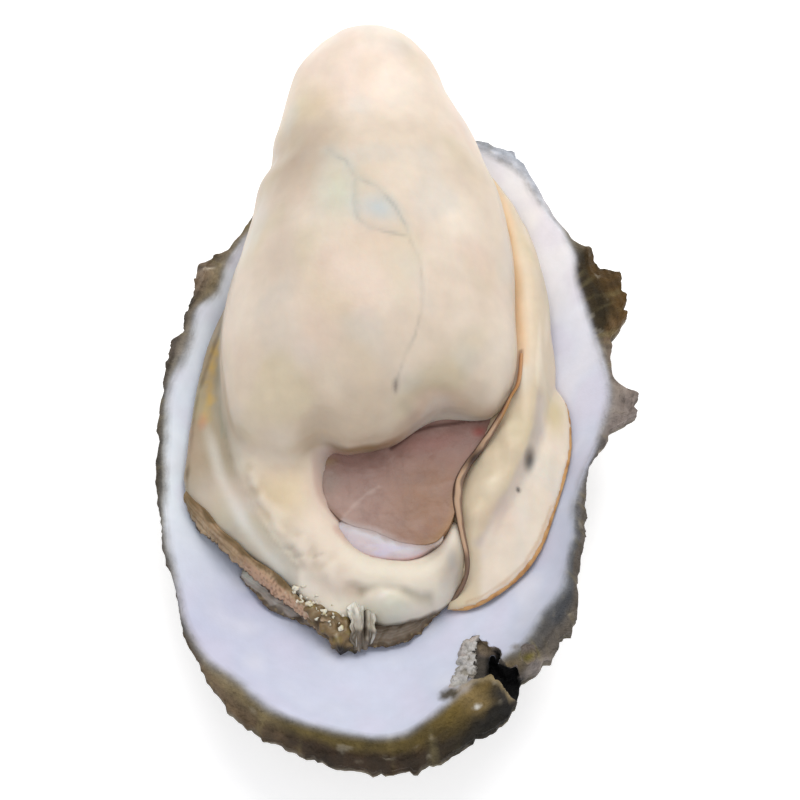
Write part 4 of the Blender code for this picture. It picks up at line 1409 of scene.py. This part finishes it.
def ribbon(name, first_edge, second_edge, columns, rows, thickness, arch, ruffle=None):
    """A strip between two lines; along and across (0 to 1) are kept as values for painting."""
    bpy.ops.object.select_all(action="DESELECT")
    bpy.ops.mesh.primitive_grid_add(x_subdivisions=columns, y_subdivisions=rows, size=2.0)
    strip = bpy.context.object
    strip.name = name
    grid = read_points(strip) * MM
    along, across = (grid[:, 0] + 1) / 2, (grid[:, 1] + 1) / 2
    first, second = smooth_path(first_edge, READINGS), smooth_path(second_edge, READINGS)
    at = along * (READINGS - 1)

    def read(line):
        knots = np.arange(READINGS)
        return np.column_stack([np.interp(at, knots, line[:, axis]) for axis in range(3)])

    span = read(second) - read(first)
    ahead = read(np.gradient((first + second) / 2, axis=0))
    out = np.cross(ahead, span)
    out *= np.sign(out[:, 2:3]) / np.linalg.norm(out, axis=1)[:, None]
    places = read(first) + span * across[:, None]
    places += out * (arch * 4 * across * (1 - across))[:, None]
    if ruffle:
        places = ruffle(places, along, across, out, span / np.linalg.norm(span, axis=1)[:, None])
    write_points(strip, places)
    store_value(strip, "along", along)
    store_value(strip, "across", across)
    finish_with(strip, "SOLIDIFY", thickness=thickness * MM, offset=0.0, use_even_offset=False)
    face_outwards(strip)
    return strip


FRILL_TOP = (
    (-34.4, -16.4, 21.2), (-33.2, -18.0, 21.3), (-31.0, -20.0, 21.2), (-28.6, -23.0, 20.6),
    (-25.9, -25.0, 19.9), (-23.6, -27.2, 19.0), (-20.7, -28.9, 18.4), (-18.6, -30.4, 17.8),
    (-15.5, -33.8, 17.2), (-12.5, -35.5, 16.8), (-9.8, -37.2, 16.2),
)
FRILL_EDGE = (
    (-34.7, -17.6, 20.1), (-33.3, -20.2, 18.6), (-31.8, -22.4, 17.9), (-29.3, -24.0, 17.6),
    (-26.9, -26.7, 17.1), (-25.1, -27.9, 16.6), (-22.4, -30.2, 15.8), (-19.4, -32.6, 15.4),
    (-16.6, -34.6, 15.0), (-13.4, -37.0, 14.5), (-10.8, -39.2, 13.9),
)


def frill_ruffle(places, along, across, out, outwards):
    wave = np.sin(along * 190 + 4 * ripple(places, 4, 60)) * 0.10 + 0.22 * ripple(places, 2.2, 61)
    notch = 0.34 * ripple(places, 1.3, 62) + 0.26 * ripple(places, 0.6, 63)
    places = places + out * (wave * across)[:, None]
    return places + outwards * (notch * across**3)[:, None]


frill = ribbon(
    "mantle_frill_left", FRILL_TOP, FRILL_EDGE,
    columns=460, rows=26, thickness=0.42, arch=0.35, ruffle=frill_ruffle,
)
places = read_points(frill)
across, along = read_value(frill, "across"), read_value(frill, "along")
flow = level_points(along * 52, across * 4)
streaks, speckle = ripple(flow, (6.0, 0.45, 1.0), 66), ripple(places, 0.45, 64)
later = soft_step(0.35, 0.55, along)  # the half beside the crumpled end is redder and speckled
tint = lay_over(
    plain_tint(frill, "#a68b69"),
    ("#c2aa8c", 0.7 * soft_step(0.0, 0.7, streaks)),
    ("#745b38", 0.6 * soft_step(0.0, 0.7, -streaks)),
    ("#c7a286", 0.85 * later * soft_step(0.98, 0.88, along) * soft_step(0.15, 0.4, across)),
    ("#5f4830", 0.5 * (0.3 + 0.7 * later) * soft_step(0.1, 0.8, speckle)),
    ("#cfc1a3", 0.5 * soft_step(0.6, 0.75, along) * soft_step(0.35, 0.8, -speckle)),
    ("#655230", 0.85 * (1 - soft_step(0.0, 0.24, across + 0.2 * ripple(places, 2.2, 68)))),
    ("#5e5030", 0.6 * soft_step(0.2, 0.03, along)),
    ("#33271a", 0.95 * soft_step(0.88, 0.97, across + 0.05 * speckle)),
)
store_tint(frill, tint)
dress(frill, flesh, "mantle_left")
print("left frill:", len(frill.data.polygons), "faces")

# %% [markdown]
# ## The right mantle
# The mantle is the skirt that lines both valves and builds the shell. Once the upper valve is
# gone it lies slack: on the right a long strip beside the body, which turns into a lumpy fold
# beside the muscle and spreads into a thin lobe over the lining. The fold is lofted and the
# lobe is a thick ribbon; joined and remeshed they become one skin.

# %% The right mantle
RIGHT_FOLD_STATIONS = (
    (13.6, 48.0, 22.4, 1.2, 1.0, 2.0, 30), (17.2, 38.0, 23.2, 2.3, 1.9, 4.0, 40),
    (20.0, 27.0, 22.4, 3.1, 2.4, 6.0, 42), (20.9, 16.0, 21.8, 3.5, 2.6, 6.0, 42),
    (20.4, 6.0, 21.4, 3.6, 2.7, 8.0, 40), (18.6, -3.0, 21.2, 4.8, 2.6, 9.0, 32),
    (15.8, -11.0, 20.2, 5.2, 2.5, 9.0, 24), (12.9, -18.0, 18.8, 4.6, 2.5, 8.0, 20),
    (11.8, -24.0, 17.0, 3.2, 2.2, 6.0, 14), (10.4, -30.5, 14.0, 1.8, 1.6, 3.0, 0),
)
LOBE_INNER = (
    (22.0, 6.0, 20.0), (21.0, 2.0, 20.4), (20.2, -3.0, 20.6), (18.4, -8.0, 20.2),
    (16.8, -13.0, 19.4), (14.8, -18.0, 18.2), (12.6, -23.0, 16.6), (10.8, -27.6, 14.9),
    (8.8, -31.4, 13.4),
)
LOBE_RIM = (
    (24.6, 6.4, 15.4), (26.6, 3.9, 16.2), (27.7, 0.8, 17.1), (28.0, -3.6, 17.5),
    (27.7, -8.0, 18.3), (26.6, -12.8, 18.8), (24.8, -18.4, 18.1), (22.6, -24.2, 17.3),
    (20.2, -27.9, 16.6), (17.0, -30.8, 15.8), (13.0, -33.1, 14.8), (10.4, -33.7, 13.9),
    (7.8, -33.3, 12.8),
)
RIM_INNER = (
    (24.4, -18.3), (22.2, -23.9), (19.9, -27.5), (16.8, -30.4), (12.9, -32.6), (10.6, -33.2),
)
FOLD_CREASE = (
    (23.6, 0.4), (22.6, -5.6), (21.2, -10.6), (18.8, -15.0), (15.6, -20.2), (12.8, -24.6),
)
FOLD_LUMPS = ((17.6, -6.6), (18.0, -9.9), (14.8, -10.6), (14.6, -15.6), (12.2, -20.2))

mantle = loft("mantle_right_fold", RIGHT_FOLD_STATIONS, segments=72, rings=200)
join_with(mantle, ribbon(
    "lobe", LOBE_INNER, LOBE_RIM, columns=160, rows=40, thickness=1.5, arch=0.5
))
make_room(mantle, belly, gap=-0.1)
make_room(mantle, muscle, gap=-0.15)
remesh(mantle, grain=0.4, smoothing=6)
places = read_points(mantle)
to_crease = distance_to(places, FOLD_CREASE)
soften(mantle, bump(to_crease, 4.5) * soft_step(6, 0, places[:, 1]), 30)
places, normals = read_points(mantle), read_normals(mantle)
upper = soft_step(0.1, 0.5, normals[:, 2])
front = 1 - soft_step(-1, 6, places[:, 1])
unevenness = 0.10 * ripple(places, (2.0, 9, 2.0), 50) + 0.14 * ripple(places, 5, 51)
places = push(places, normals, unevenness, 1.0)
places = push(places, normals, bump(to_crease, 2.0) * upper * front, -0.4)
places = push(places, normals, patch(places, (21.0, -11.0), (1.2, 2.4), -15) * upper, -0.4)
for x, y in FOLD_LUMPS:
    places = push(places, normals, patch(places, (x, y), (2.8, 2.3), 60) * upper, 0.5)
write_points(mantle, keep_clear(places, THIN_GAP))
print("right mantle:", len(mantle.data.polygons), "faces")

# %% [markdown]
# ## Colours of the right mantle
# The strip beside the body is cream with an ochre border where it lies against the bag. The fold
# beside the muscle has lavender-grey painted shade along its crease, with a dark pit and a short
# dark slit. The lobe is pale pink-cream up to its orange rim.

# %% Colours of the right mantle
BESIDE_BAG = ((15.0, 47.0), (18.6, 33.0), (19.6, 22.0), (20.0, 12.0), (20.2, 6.0))
beyond_crease = soft_step(-0.8, 0.8, -left_of(places, FOLD_CREASE)) * front
to_rim_line = distance_to(places, RIM_INNER) + 0.1 * ripple(places, 2, 57)
grain = ripple(places, (2.0, 14, 2.0), 52)
tint = lay_over(
    plain_tint(mantle, "#dfceb4"),
    ("#d3c2a6", 0.8 * front),
    ("#e6d8c8", 0.8 * beyond_crease),
    ("#f2e6d4", 0.5 * (1 - front) * soft_step(0.1, 0.7, grain)),
    ("#e2b988", 0.65 * bump(distance_to(places, BESIDE_BAG), 1.9) * (1 - front)),
    ("#d5c296", 0.8 * beyond_crease * patch(places, (25.6, -1.5), (3.4, 6.5))),
    ("#efe2c9", 0.6 * front * patch(places, (14.4, -15.6), (3.4, 3.0))),
    ("#cdbfa6", 0.6 * front * patch(places, (13.0, -12.6), (3.0, 3.0))),
    # painted shade along the crease
    ("#bab0b4", 0.4 * bump(to_crease + 0.4 * ripple(places, 3, 69), 1.3) * upper * front),
    ("#443a35", 0.95 * patch(places, (21.1, -10.9), (1.4, 3.0), -12) * upper),
    ("#2f241d", 0.95 * patch(places, (19.1, -15.9), (0.6, 0.6)) * upper),
    ("#b98f66", 0.45 * bump(to_rim_line, 0.4) * upper),
    ("#c08d58", 0.75 * bump(distance_to(places, LOBE_RIM), 1.1)),
    ("#8a5330", 0.85 * bump(distance_to(places, SIDE_LINE), 0.7)),
)
store_tint(mantle, blush(tint, places, 110))
dress(mantle, flesh, "mantle_right")
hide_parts("mantle_lobe")
print("share of the right mantle beyond its crease:", round(float(beyond_crease.mean()), 2))

# %% [markdown]
# ## The orange rim and the dark lip
# The very edge of the lobe is a pigmented cord less than a millimetre thick, so a slim tube
# along it is enough. The dark lip that borders the muscle is a narrow ribbon, and its two
# edges are painted darker than its back, which makes it read as a folded skin.

# %% The orange rim and the dark lip
rim_line = [(x, y, z + 0.15) for x, y, z in LOBE_RIM]
rim = tube("mantle_rim_right", rim_line, radius=0.46, rings=240)
places, normals = read_points(rim), read_normals(rim)
places = push(places, normals, 0.05 * ripple(places, 0.9, 74), 1.0)
write_points(rim, keep_clear(places, 0.2))
darker = 0.7 * soft_step(0.0, 0.7, ripple(places, 1.6, 73))
store_tint(rim, tint_over(plain_tint(rim, "#c4955f"), "#9c6a3a", darker))
dress(rim, flesh, "mantle_lobe")
LIP_LEFT = (
    (20.1, 7.4, 24.3), (19.3, 2.0, 24.3), (17.6, -2.0, 25.4), (16.2, -4.3, 25.0),
    (14.2, -6.8, 23.0), (12.2, -9.2, 21.5), (10.4, -11.6, 21.0), (9.0, -14.4, 20.8),
    (8.6, -17.2, 20.5), (9.0, -20.2, 20.1), (9.6, -23.2, 19.6), (10.3, -26.4, 18.8),
    (10.5, -28.8, 17.4), (9.6, -30.8, 15.8), (8.2, -32.4, 14.0),
)
LIP_RIGHT = (
    (20.3, 7.4, 24.5), (19.8, 2.0, 24.7), (18.3, -1.6, 25.8), (17.1, -4.2, 25.4),
    (15.4, -7.0, 23.7), (13.5, -9.6, 22.4), (11.6, -12.1, 21.9), (10.3, -14.7, 21.5),
    (10.0, -17.8, 21.1), (10.1, -21.0, 20.7), (10.5, -23.8, 20.1), (11.0, -26.6, 19.2),
    (11.0, -29.1, 17.7), (10.1, -31.1, 16.0), (8.6, -32.7, 14.1),
)
lip = ribbon(
    "mantle_lip_right", LIP_LEFT, LIP_RIGHT, columns=340, rows=10, thickness=0.36, arch=0.2
)
places, across = read_points(lip), read_value(lip, "across")
wander = 0.08 * ripple(places, 1.6, 65)
length = places[:, 1]
ochre_part, outer_half = soft_step(-7.0, -4.0, length), soft_step(0.4, 0.8, across)
tint = lay_over(
    plain_tint(lip, "#c3a488"),
    ("#46352c", 0.95 * (1 - soft_step(0.16, 0.34, across + wander))),
    ("#5a4536", 0.85 * soft_step(0.7, 0.86, across + wander)),
    ("#33251f", 0.95 * patch(places, (12.0, -11.0), (3.6, 2.2), 55)),
    ("#5c493c", 0.8 * soft_step(-25.5, -27.5, length)),
    ("#a87a44", 0.9 * ochre_part * outer_half),
    ("#4c3020", 0.9 * ochre_part * (1 - outer_half)),
    ("#c08d62", 0.85 * soft_step(-0.5, 2.5, length)),
)
store_tint(lip, tint)
dress(lip, flesh, "mantle_right")
print("rim and lip:", len(rim.data.polygons), len(lip.data.polygons), "faces")

# %% [markdown]
# ## The lower lobes
# At the front two grey-olive lobes of the mantle lie flat on the lining, with a dark mottled
# edge. Each is a ribbon from a line hidden under the body to its own free edge, pleated a
# little, because the slack skirt gathers there.

# %% The lower lobes
LOWER_LOBES = {
    "mantle_lobe_front_left": (
        ((-25.2, -27.6, 14.8), (-22.8, -27.8, 14.4), (-19.2, -29.2, 13.6), (-16.0, -31.0, 12.8),
         (-13.0, -33.0, 12.4), (-10.5, -35.0, 12.2), (-8.4, -37.2, 12.2)),
        ((-25.6, -28.4, 14.2), (-23.8, -30.6, 13.8), (-21.3, -33.4, 13.7), (-18.1, -34.9, 13.0),
         (-15.5, -35.8, 12.6), (-12.8, -37.2, 12.4), (-10.0, -38.8, 12.5)),
    ),
    "mantle_lobe_front_right": (
        ((-7.0, -36.2, 12.4), (-4.6, -35.6, 12.2), (-2.0, -35.0, 12.2), (0.4, -34.4, 12.2),
         (2.8, -33.4, 12.2), (5.0, -32.2, 12.4), (6.8, -31.4, 12.6)),
        ((-6.4, -40.0, 12.8), (-4.4, -39.8, 12.6), (-1.6, -39.6, 12.5), (0.4, -39.2, 12.5),
         (2.6, -37.8, 12.4), (5.2, -34.8, 12.2), (7.0, -32.8, 12.2)),
    ),
}


def lobe_pleats(places, along, across, out, outwards):
    pleats = 0.12 * np.sin(along * 34 + 5 * across + 3 * ripple(places, 4, 75))
    pleats += 0.2 * ripple(places, 2.4, 76)
    notch = 0.2 * ripple(places, 1.6, 77) + 0.14 * ripple(places, 0.6, 78)
    places = places + out * (pleats * soft_step(0.0, 0.5, across))[:, None]
    return places + outwards * (notch * across**3)[:, None]


for name, (inner_line, free_line) in LOWER_LOBES.items():
    lobe = ribbon(
        name, inner_line, free_line,
        columns=240, rows=44, thickness=0.7, arch=0.5, ruffle=lobe_pleats,
    )
    places = read_points(lobe)
    across, along = read_value(lobe, "across"), read_value(lobe, "along")
    write_points(lobe, keep_clear(places, THIN_GAP))
    stripes = ripple(level_points(along * 6, across * 5), (3.0, 0.32, 1.0), 79)
    left = name.endswith("left")
    tint = lay_over(
        plain_tint(lobe, "#9a8f86" if left else "#6a5c4c"),
        ("#b3aba0", (0.8 if left else 0.15) * soft_step(0.0, 0.6, stripes)),
        ("#5f5446", 0.35 * soft_step(0.1, 0.9, ripple(places, 1.4, 84))),
        ("#c3c6b8", 0.7 * left * patch(places, (-24.0, -28.6), (3.0, 1.2), -35)),
    )
    edge = soft_step(0.80, 0.93, across + 0.07 * ripple(places, 1.2, 85))
    tint = lay_over(
        tint,
        ("#493a27", 0.9 * edge),
        ("#8b7a5a", 0.6 * edge * soft_step(0.2, 0.7, ripple(places, 0.7, 86))),
    )
    store_tint(lobe, tint)
    dress(lobe, flesh, "mantle_lower")
print("lower lobes:", len(lobe.data.polygons), "faces each")

# %% [markdown]
# ## The chalk beside the break
# Under its thin hard lining an oyster shell is soft white chalk. Where the knife tore the shell
# this chalk crumbled, so a strip of small lumps lies between the lining and the hole. It is a
# ribbon like the others, laid on the lining, with noise of three widths as its relief, painted
# pale on its heights and with grey-brown painted shade in its pits.

# %% The chalk beside the break
CHALK_LEFT = ((9.8, -39.0), (8.8, -42.0), (8.3, -44.8), (7.5, -47.8), (6.8, -50.2))
CHALK_RIGHT = ((12.2, -39.2), (11.5, -42.6), (11.7, -44.6), (11.3, -46.8), (10.4, -49.0))


def on_lining(path, lift):
    """A line laid on the cup's lining, lifted by a height in mm."""
    line = level_points(np.array(path))
    line[:, 2] = cup_height(line) + lift
    return line


def chalk_lumps(places, along, across, out, outwards):
    inside = soft_step(0, 0.5, across) * soft_step(0, 0.2, along) * soft_step(1, 0.85, along)
    lumps = 0.5 * (0.4 - abs(ripple(places, 1.6, 100))) + 0.28 * ripple(places, 0.8, 101)
    lumps += 0.16 * ripple(places, 0.4, 102)
    places = places + outwards * (0.6 * ripple(places, 1.5, 103) * (1 - 2 * across))[:, None]
    return places + out * (lumps * (0.35 + 0.65 * inside) - 0.75 + 0.5 * inside)[:, None]


chalk = ribbon(
    "chalk_crumble", on_lining(CHALK_LEFT, 0.1), on_lining(CHALK_RIGHT, 0.2),
    columns=190, rows=60, thickness=0.9, arch=0.1, ruffle=chalk_lumps,
)
places, across = read_points(chalk), read_value(chalk, "across")
height = places[:, 2] - cup_height(places)
tint = lay_over(
    plain_tint(chalk, "#aeaaa2"),
    ("#c6c3c0", 0.8 * soft_step(0.2, 0.6, height)),
    # grey-brown painted shade in the pits
    ("#948a7e", 0.7 * soft_step(0.2, -0.1, height) * soft_step(0.35, 0.6, across)),
    ("#cdd1df", 0.9 * soft_step(0.15, -0.05, height) * soft_step(0.6, 0.3, across)),
    ("#b8a59c", 0.5 * soft_step(0.1, 0.7, ripple(places, 2.2, 105))),
    ("#8f8571", 0.5 * soft_step(0.1, 0.7, ripple(places, 1.3, 104))),
    ("#3d3521", 0.9 * firm(1.7 * patch(places, (7.3, -51.2), (1.8, 1.9)))),
)
store_tint(chalk, tint)
store_value(chalk, "polish", np.zeros(len(places)))
dress(chalk, calcite, "shell")
print("chalk:", len(chalk.data.polygons), "faces")

# %% [markdown]
# ## The knot
# Where the two mantle edges meet at the front they bunch up into a small dark knot. It is a lofted
# body broken up by strong noise of three widths, with painted shade in its hollows and painted
# highlights on its ridges, and with two small notches in its lower end.

# %% The knot
KNOT_STATIONS = (
    (-16.0, -33.2, 16.0, 0.9, 0.9, 1.4, 0), (-13.4, -35.2, 15.6, 1.7, 1.4, 2.0, 0),
    (-11.0, -37.0, 15.0, 2.3, 1.7, 2.4, 0), (-8.8, -38.8, 14.2, 2.5, 1.7, 2.4, 0),
    (-7.4, -40.6, 13.4, 1.7, 1.3, 1.4, 0),
)
KNOT_NOTCHES = ((-6.9, -41.0), (-9.4, -40.4))
knot = loft("mantle_knot", KNOT_STATIONS, segments=72, rings=110)
remesh(knot, grain=0.3, smoothing=2)
places, normals = read_points(knot), read_normals(knot)
crumple = sum(
    height * ripple(places, width, seed)
    for height, width, seed in ((0.5, 1.8, 80), (0.3, 0.9, 81), (0.12, 0.5, 82))
)
places = push(places, normals, crumple, 1.0)
for notch in KNOT_NOTCHES:
    places[:, 1] -= 1.1 * patch(places, notch, (0.9, 1.2))
write_points(knot, keep_clear(places, THIN_GAP))
tint = lay_over(
    plain_tint(knot, "#7d6848"),
    # painted shade in the hollows and painted highlights on the ridges
    ("#3b2c17", 0.85 * soft_step(-0.1, 0.6, -crumple)),
    ("#a99e83", 0.8 * soft_step(0.25, 0.75, crumple)),
    ("#8d7c36", 0.5 * soft_step(0.2, 0.8, ripple(places, 1.2, 87))),
    ("#16110d", 0.95 * soft_step(-40.2, -41.2, places[:, 1])),
)
store_tint(knot, tint)
dress(knot, flesh, "mantle_lower")
print("knot:", len(knot.data.polygons), "faces")

# %% [markdown]
# ## The veil
# A torn, pleated membrane hangs across the knot. It is a ribbon with three deep pleats, one lump
# at its top and one slit, whose place is needed twice: to push the slit in and to paint it dark as
# painted shade. Its threads are noise that is drawn out along the pleats.

# %% The veil
VEIL_TOP = (
    (-8.4, -35.0, 16.8), (-7.4, -34.2, 17.0), (-6.2, -33.5, 17.1), (-5.2, -33.7, 16.8),
    (-4.3, -34.8, 16.0),
)
VEIL_FOOT = (
    (-7.4, -40.5, 14.4), (-6.8, -40.9, 13.9), (-6.1, -40.8, 13.5), (-5.3, -40.3, 13.2),
    (-4.6, -39.2, 13.1),
)


def veil_slit(along, across, width):
    """1 in the middle of the slit, which leans a little and closes at both ends."""
    slit = bump(abs(along - 0.62 + 0.1 * across), width)
    return slit * soft_step(0.02, 0.2, across) * soft_step(0.85, 0.6, across)


def veil_pleats(places, along, across, out, outwards):
    pleats = 0.3 * np.cos(along * 2 * math.pi * 3 + 1.5 * across + 1.5 * ripple(places, 3, 91))
    pleats += 0.12 * ripple(places, 0.9, 92)
    pleats += 0.5 * bump(abs(along - 0.28), 0.2) * bump(abs(across - 0.2), 0.5)
    relief = pleats * soft_step(0.0, 0.25, across) - 1.1 * veil_slit(along, across, 0.09)
    places[:, 0] += 0.8 * ripple(places, 1.3, 99) * (2 * along - 1) ** 4
    places = places + out * relief[:, None]
    fringe = 0.3 * ripple(places, 0.8, 93) + 0.3 * ripple(places, 1.6, 94)
    return places + outwards * (fringe * across**3)[:, None]


veil = ribbon(
    "mantle_veil", VEIL_TOP, VEIL_FOOT,
    columns=150, rows=110, thickness=0.35, arch=0.9, ruffle=veil_pleats,
)
places = read_points(veil)
along, across = read_value(veil, "along"), read_value(veil, "across")
write_points(veil, keep_clear(places, THIN_GAP))
unrolled = level_points(along * 5, across * 7)
dark_threads = ripple(unrolled, (0.16, 2.2, 1), 95)
pale_threads = ripple(unrolled, (0.2, 3, 1), 106)
tint = lay_over(
    plain_tint(veil, "#c2b9a9"),
    ("#ece7dc", 0.8 * soft_step(0.45, 0.05, across)),
    ("#8b8578", 0.5 * soft_step(0.2, 0.8, dark_threads)),
    ("#b3a98c", 0.4 * soft_step(0.0, 0.7, ripple(places, 1.1, 96))),
    ("#54483b", 0.85 * soft_step(0.35, 0.8, across + 0.25 * ripple(places, 1.2, 97))),
    ("#d8d4ca", 0.6 * soft_step(0.45, 0.9, pale_threads)),
    # painted shade in the slit
    ("#2a241d", 0.95 * veil_slit(along, across, 0.10)),
    ("#332c24", 0.8 * bump(abs(along - 0.12), 0.05) * bump(abs(across - 0.5), 0.2)),
)
store_tint(veil, tint)
dress(veil, flesh, "mantle_lower")
print("veil:", len(veil.data.polygons), "faces")

# %% [markdown]
# ## The shell grit
# Grains of broken shell lie along the knot: a few large ones and many crumbs. One grain is
# modelled, a low ball made lumpy by noise, then copied with a new size, turn and place for
# each, and the copies are joined. The random numbers start from a fixed seed, so that every
# run gives the same grains.

# %% The shell grit
GRAIN_LINE = (
    (-16.6, -31.6, 18.0), (-15.4, -33.2, 17.6), (-13.4, -34.6, 17.4), (-11.4, -36.2, 16.9),
    (-8.6, -37.4, 16.6),
)
GRAIN_COUNT, LARGE_GRAINS, GRAIN_RADIUS, GRAIN_FLATNESS = 36, 8, 0.42, 0.45
draw = np.random.default_rng(5)
bpy.ops.object.select_all(action="DESELECT")
bpy.ops.mesh.primitive_ico_sphere_add(subdivisions=2, radius=GRAIN_RADIUS * MM)
grain = bpy.context.object
shape = read_points(grain)
write_points(grain, shape * (1 + 1.1 * ripple(shape, 0.45, 89))[:, None])
line = smooth_path(GRAIN_LINE, 200)
copies = []
for number in range(GRAIN_COUNT):
    copy = grain.copy()
    copy.data = grain.data.copy()
    bpy.context.scene.collection.objects.link(copy)
    size = draw.uniform(0.65, 1.0) if number < LARGE_GRAINS else draw.uniform(0.2, 0.5)
    place = line[int(draw.triangular(0, 60, 199))] + draw.normal(0, (1.0, 0.7, 0.1)) - (0, 0, 0.3)
    turn = draw.uniform(0, 2 * math.pi)
    x, y, z = (read_points(grain) * size).T
    c, s = math.cos(turn), math.sin(turn)
    turned = np.column_stack([x * c - y * s, x * s + y * c, z * GRAIN_FLATNESS])
    write_points(copy, turned + place)
    copies.append(copy)
bpy.data.objects.remove(grain, do_unlink=True)
select_only(copies[0])
for copy in copies:
    copy.select_set(True)
bpy.ops.object.join()
grit = copies[0]
grit.name = "shell_grit"
places = read_points(grit)
tint = lay_over(
    plain_tint(grit, "#e6dcc6"),
    ("#b3a07c", 0.8 * soft_step(0, 0.8, ripple(places, 1.5, 90))),
    ("#b9a04c", 0.7 * soft_step(0.3, 0.7, ripple(places, 1.1, 98))),
)
store_tint(grit, tint)
dress(grit, flesh, "mantle_lower")
print("grains:", GRAIN_COUNT)

# %% [markdown]
# ## Size
# The dressed oyster must be as large as the CAD model, so the box round the visible pieces is
# printed in mm.

# %% Size
low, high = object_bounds()
print("visual box in mm:", [round(v / MM, 1) for v in (*low, *high)])
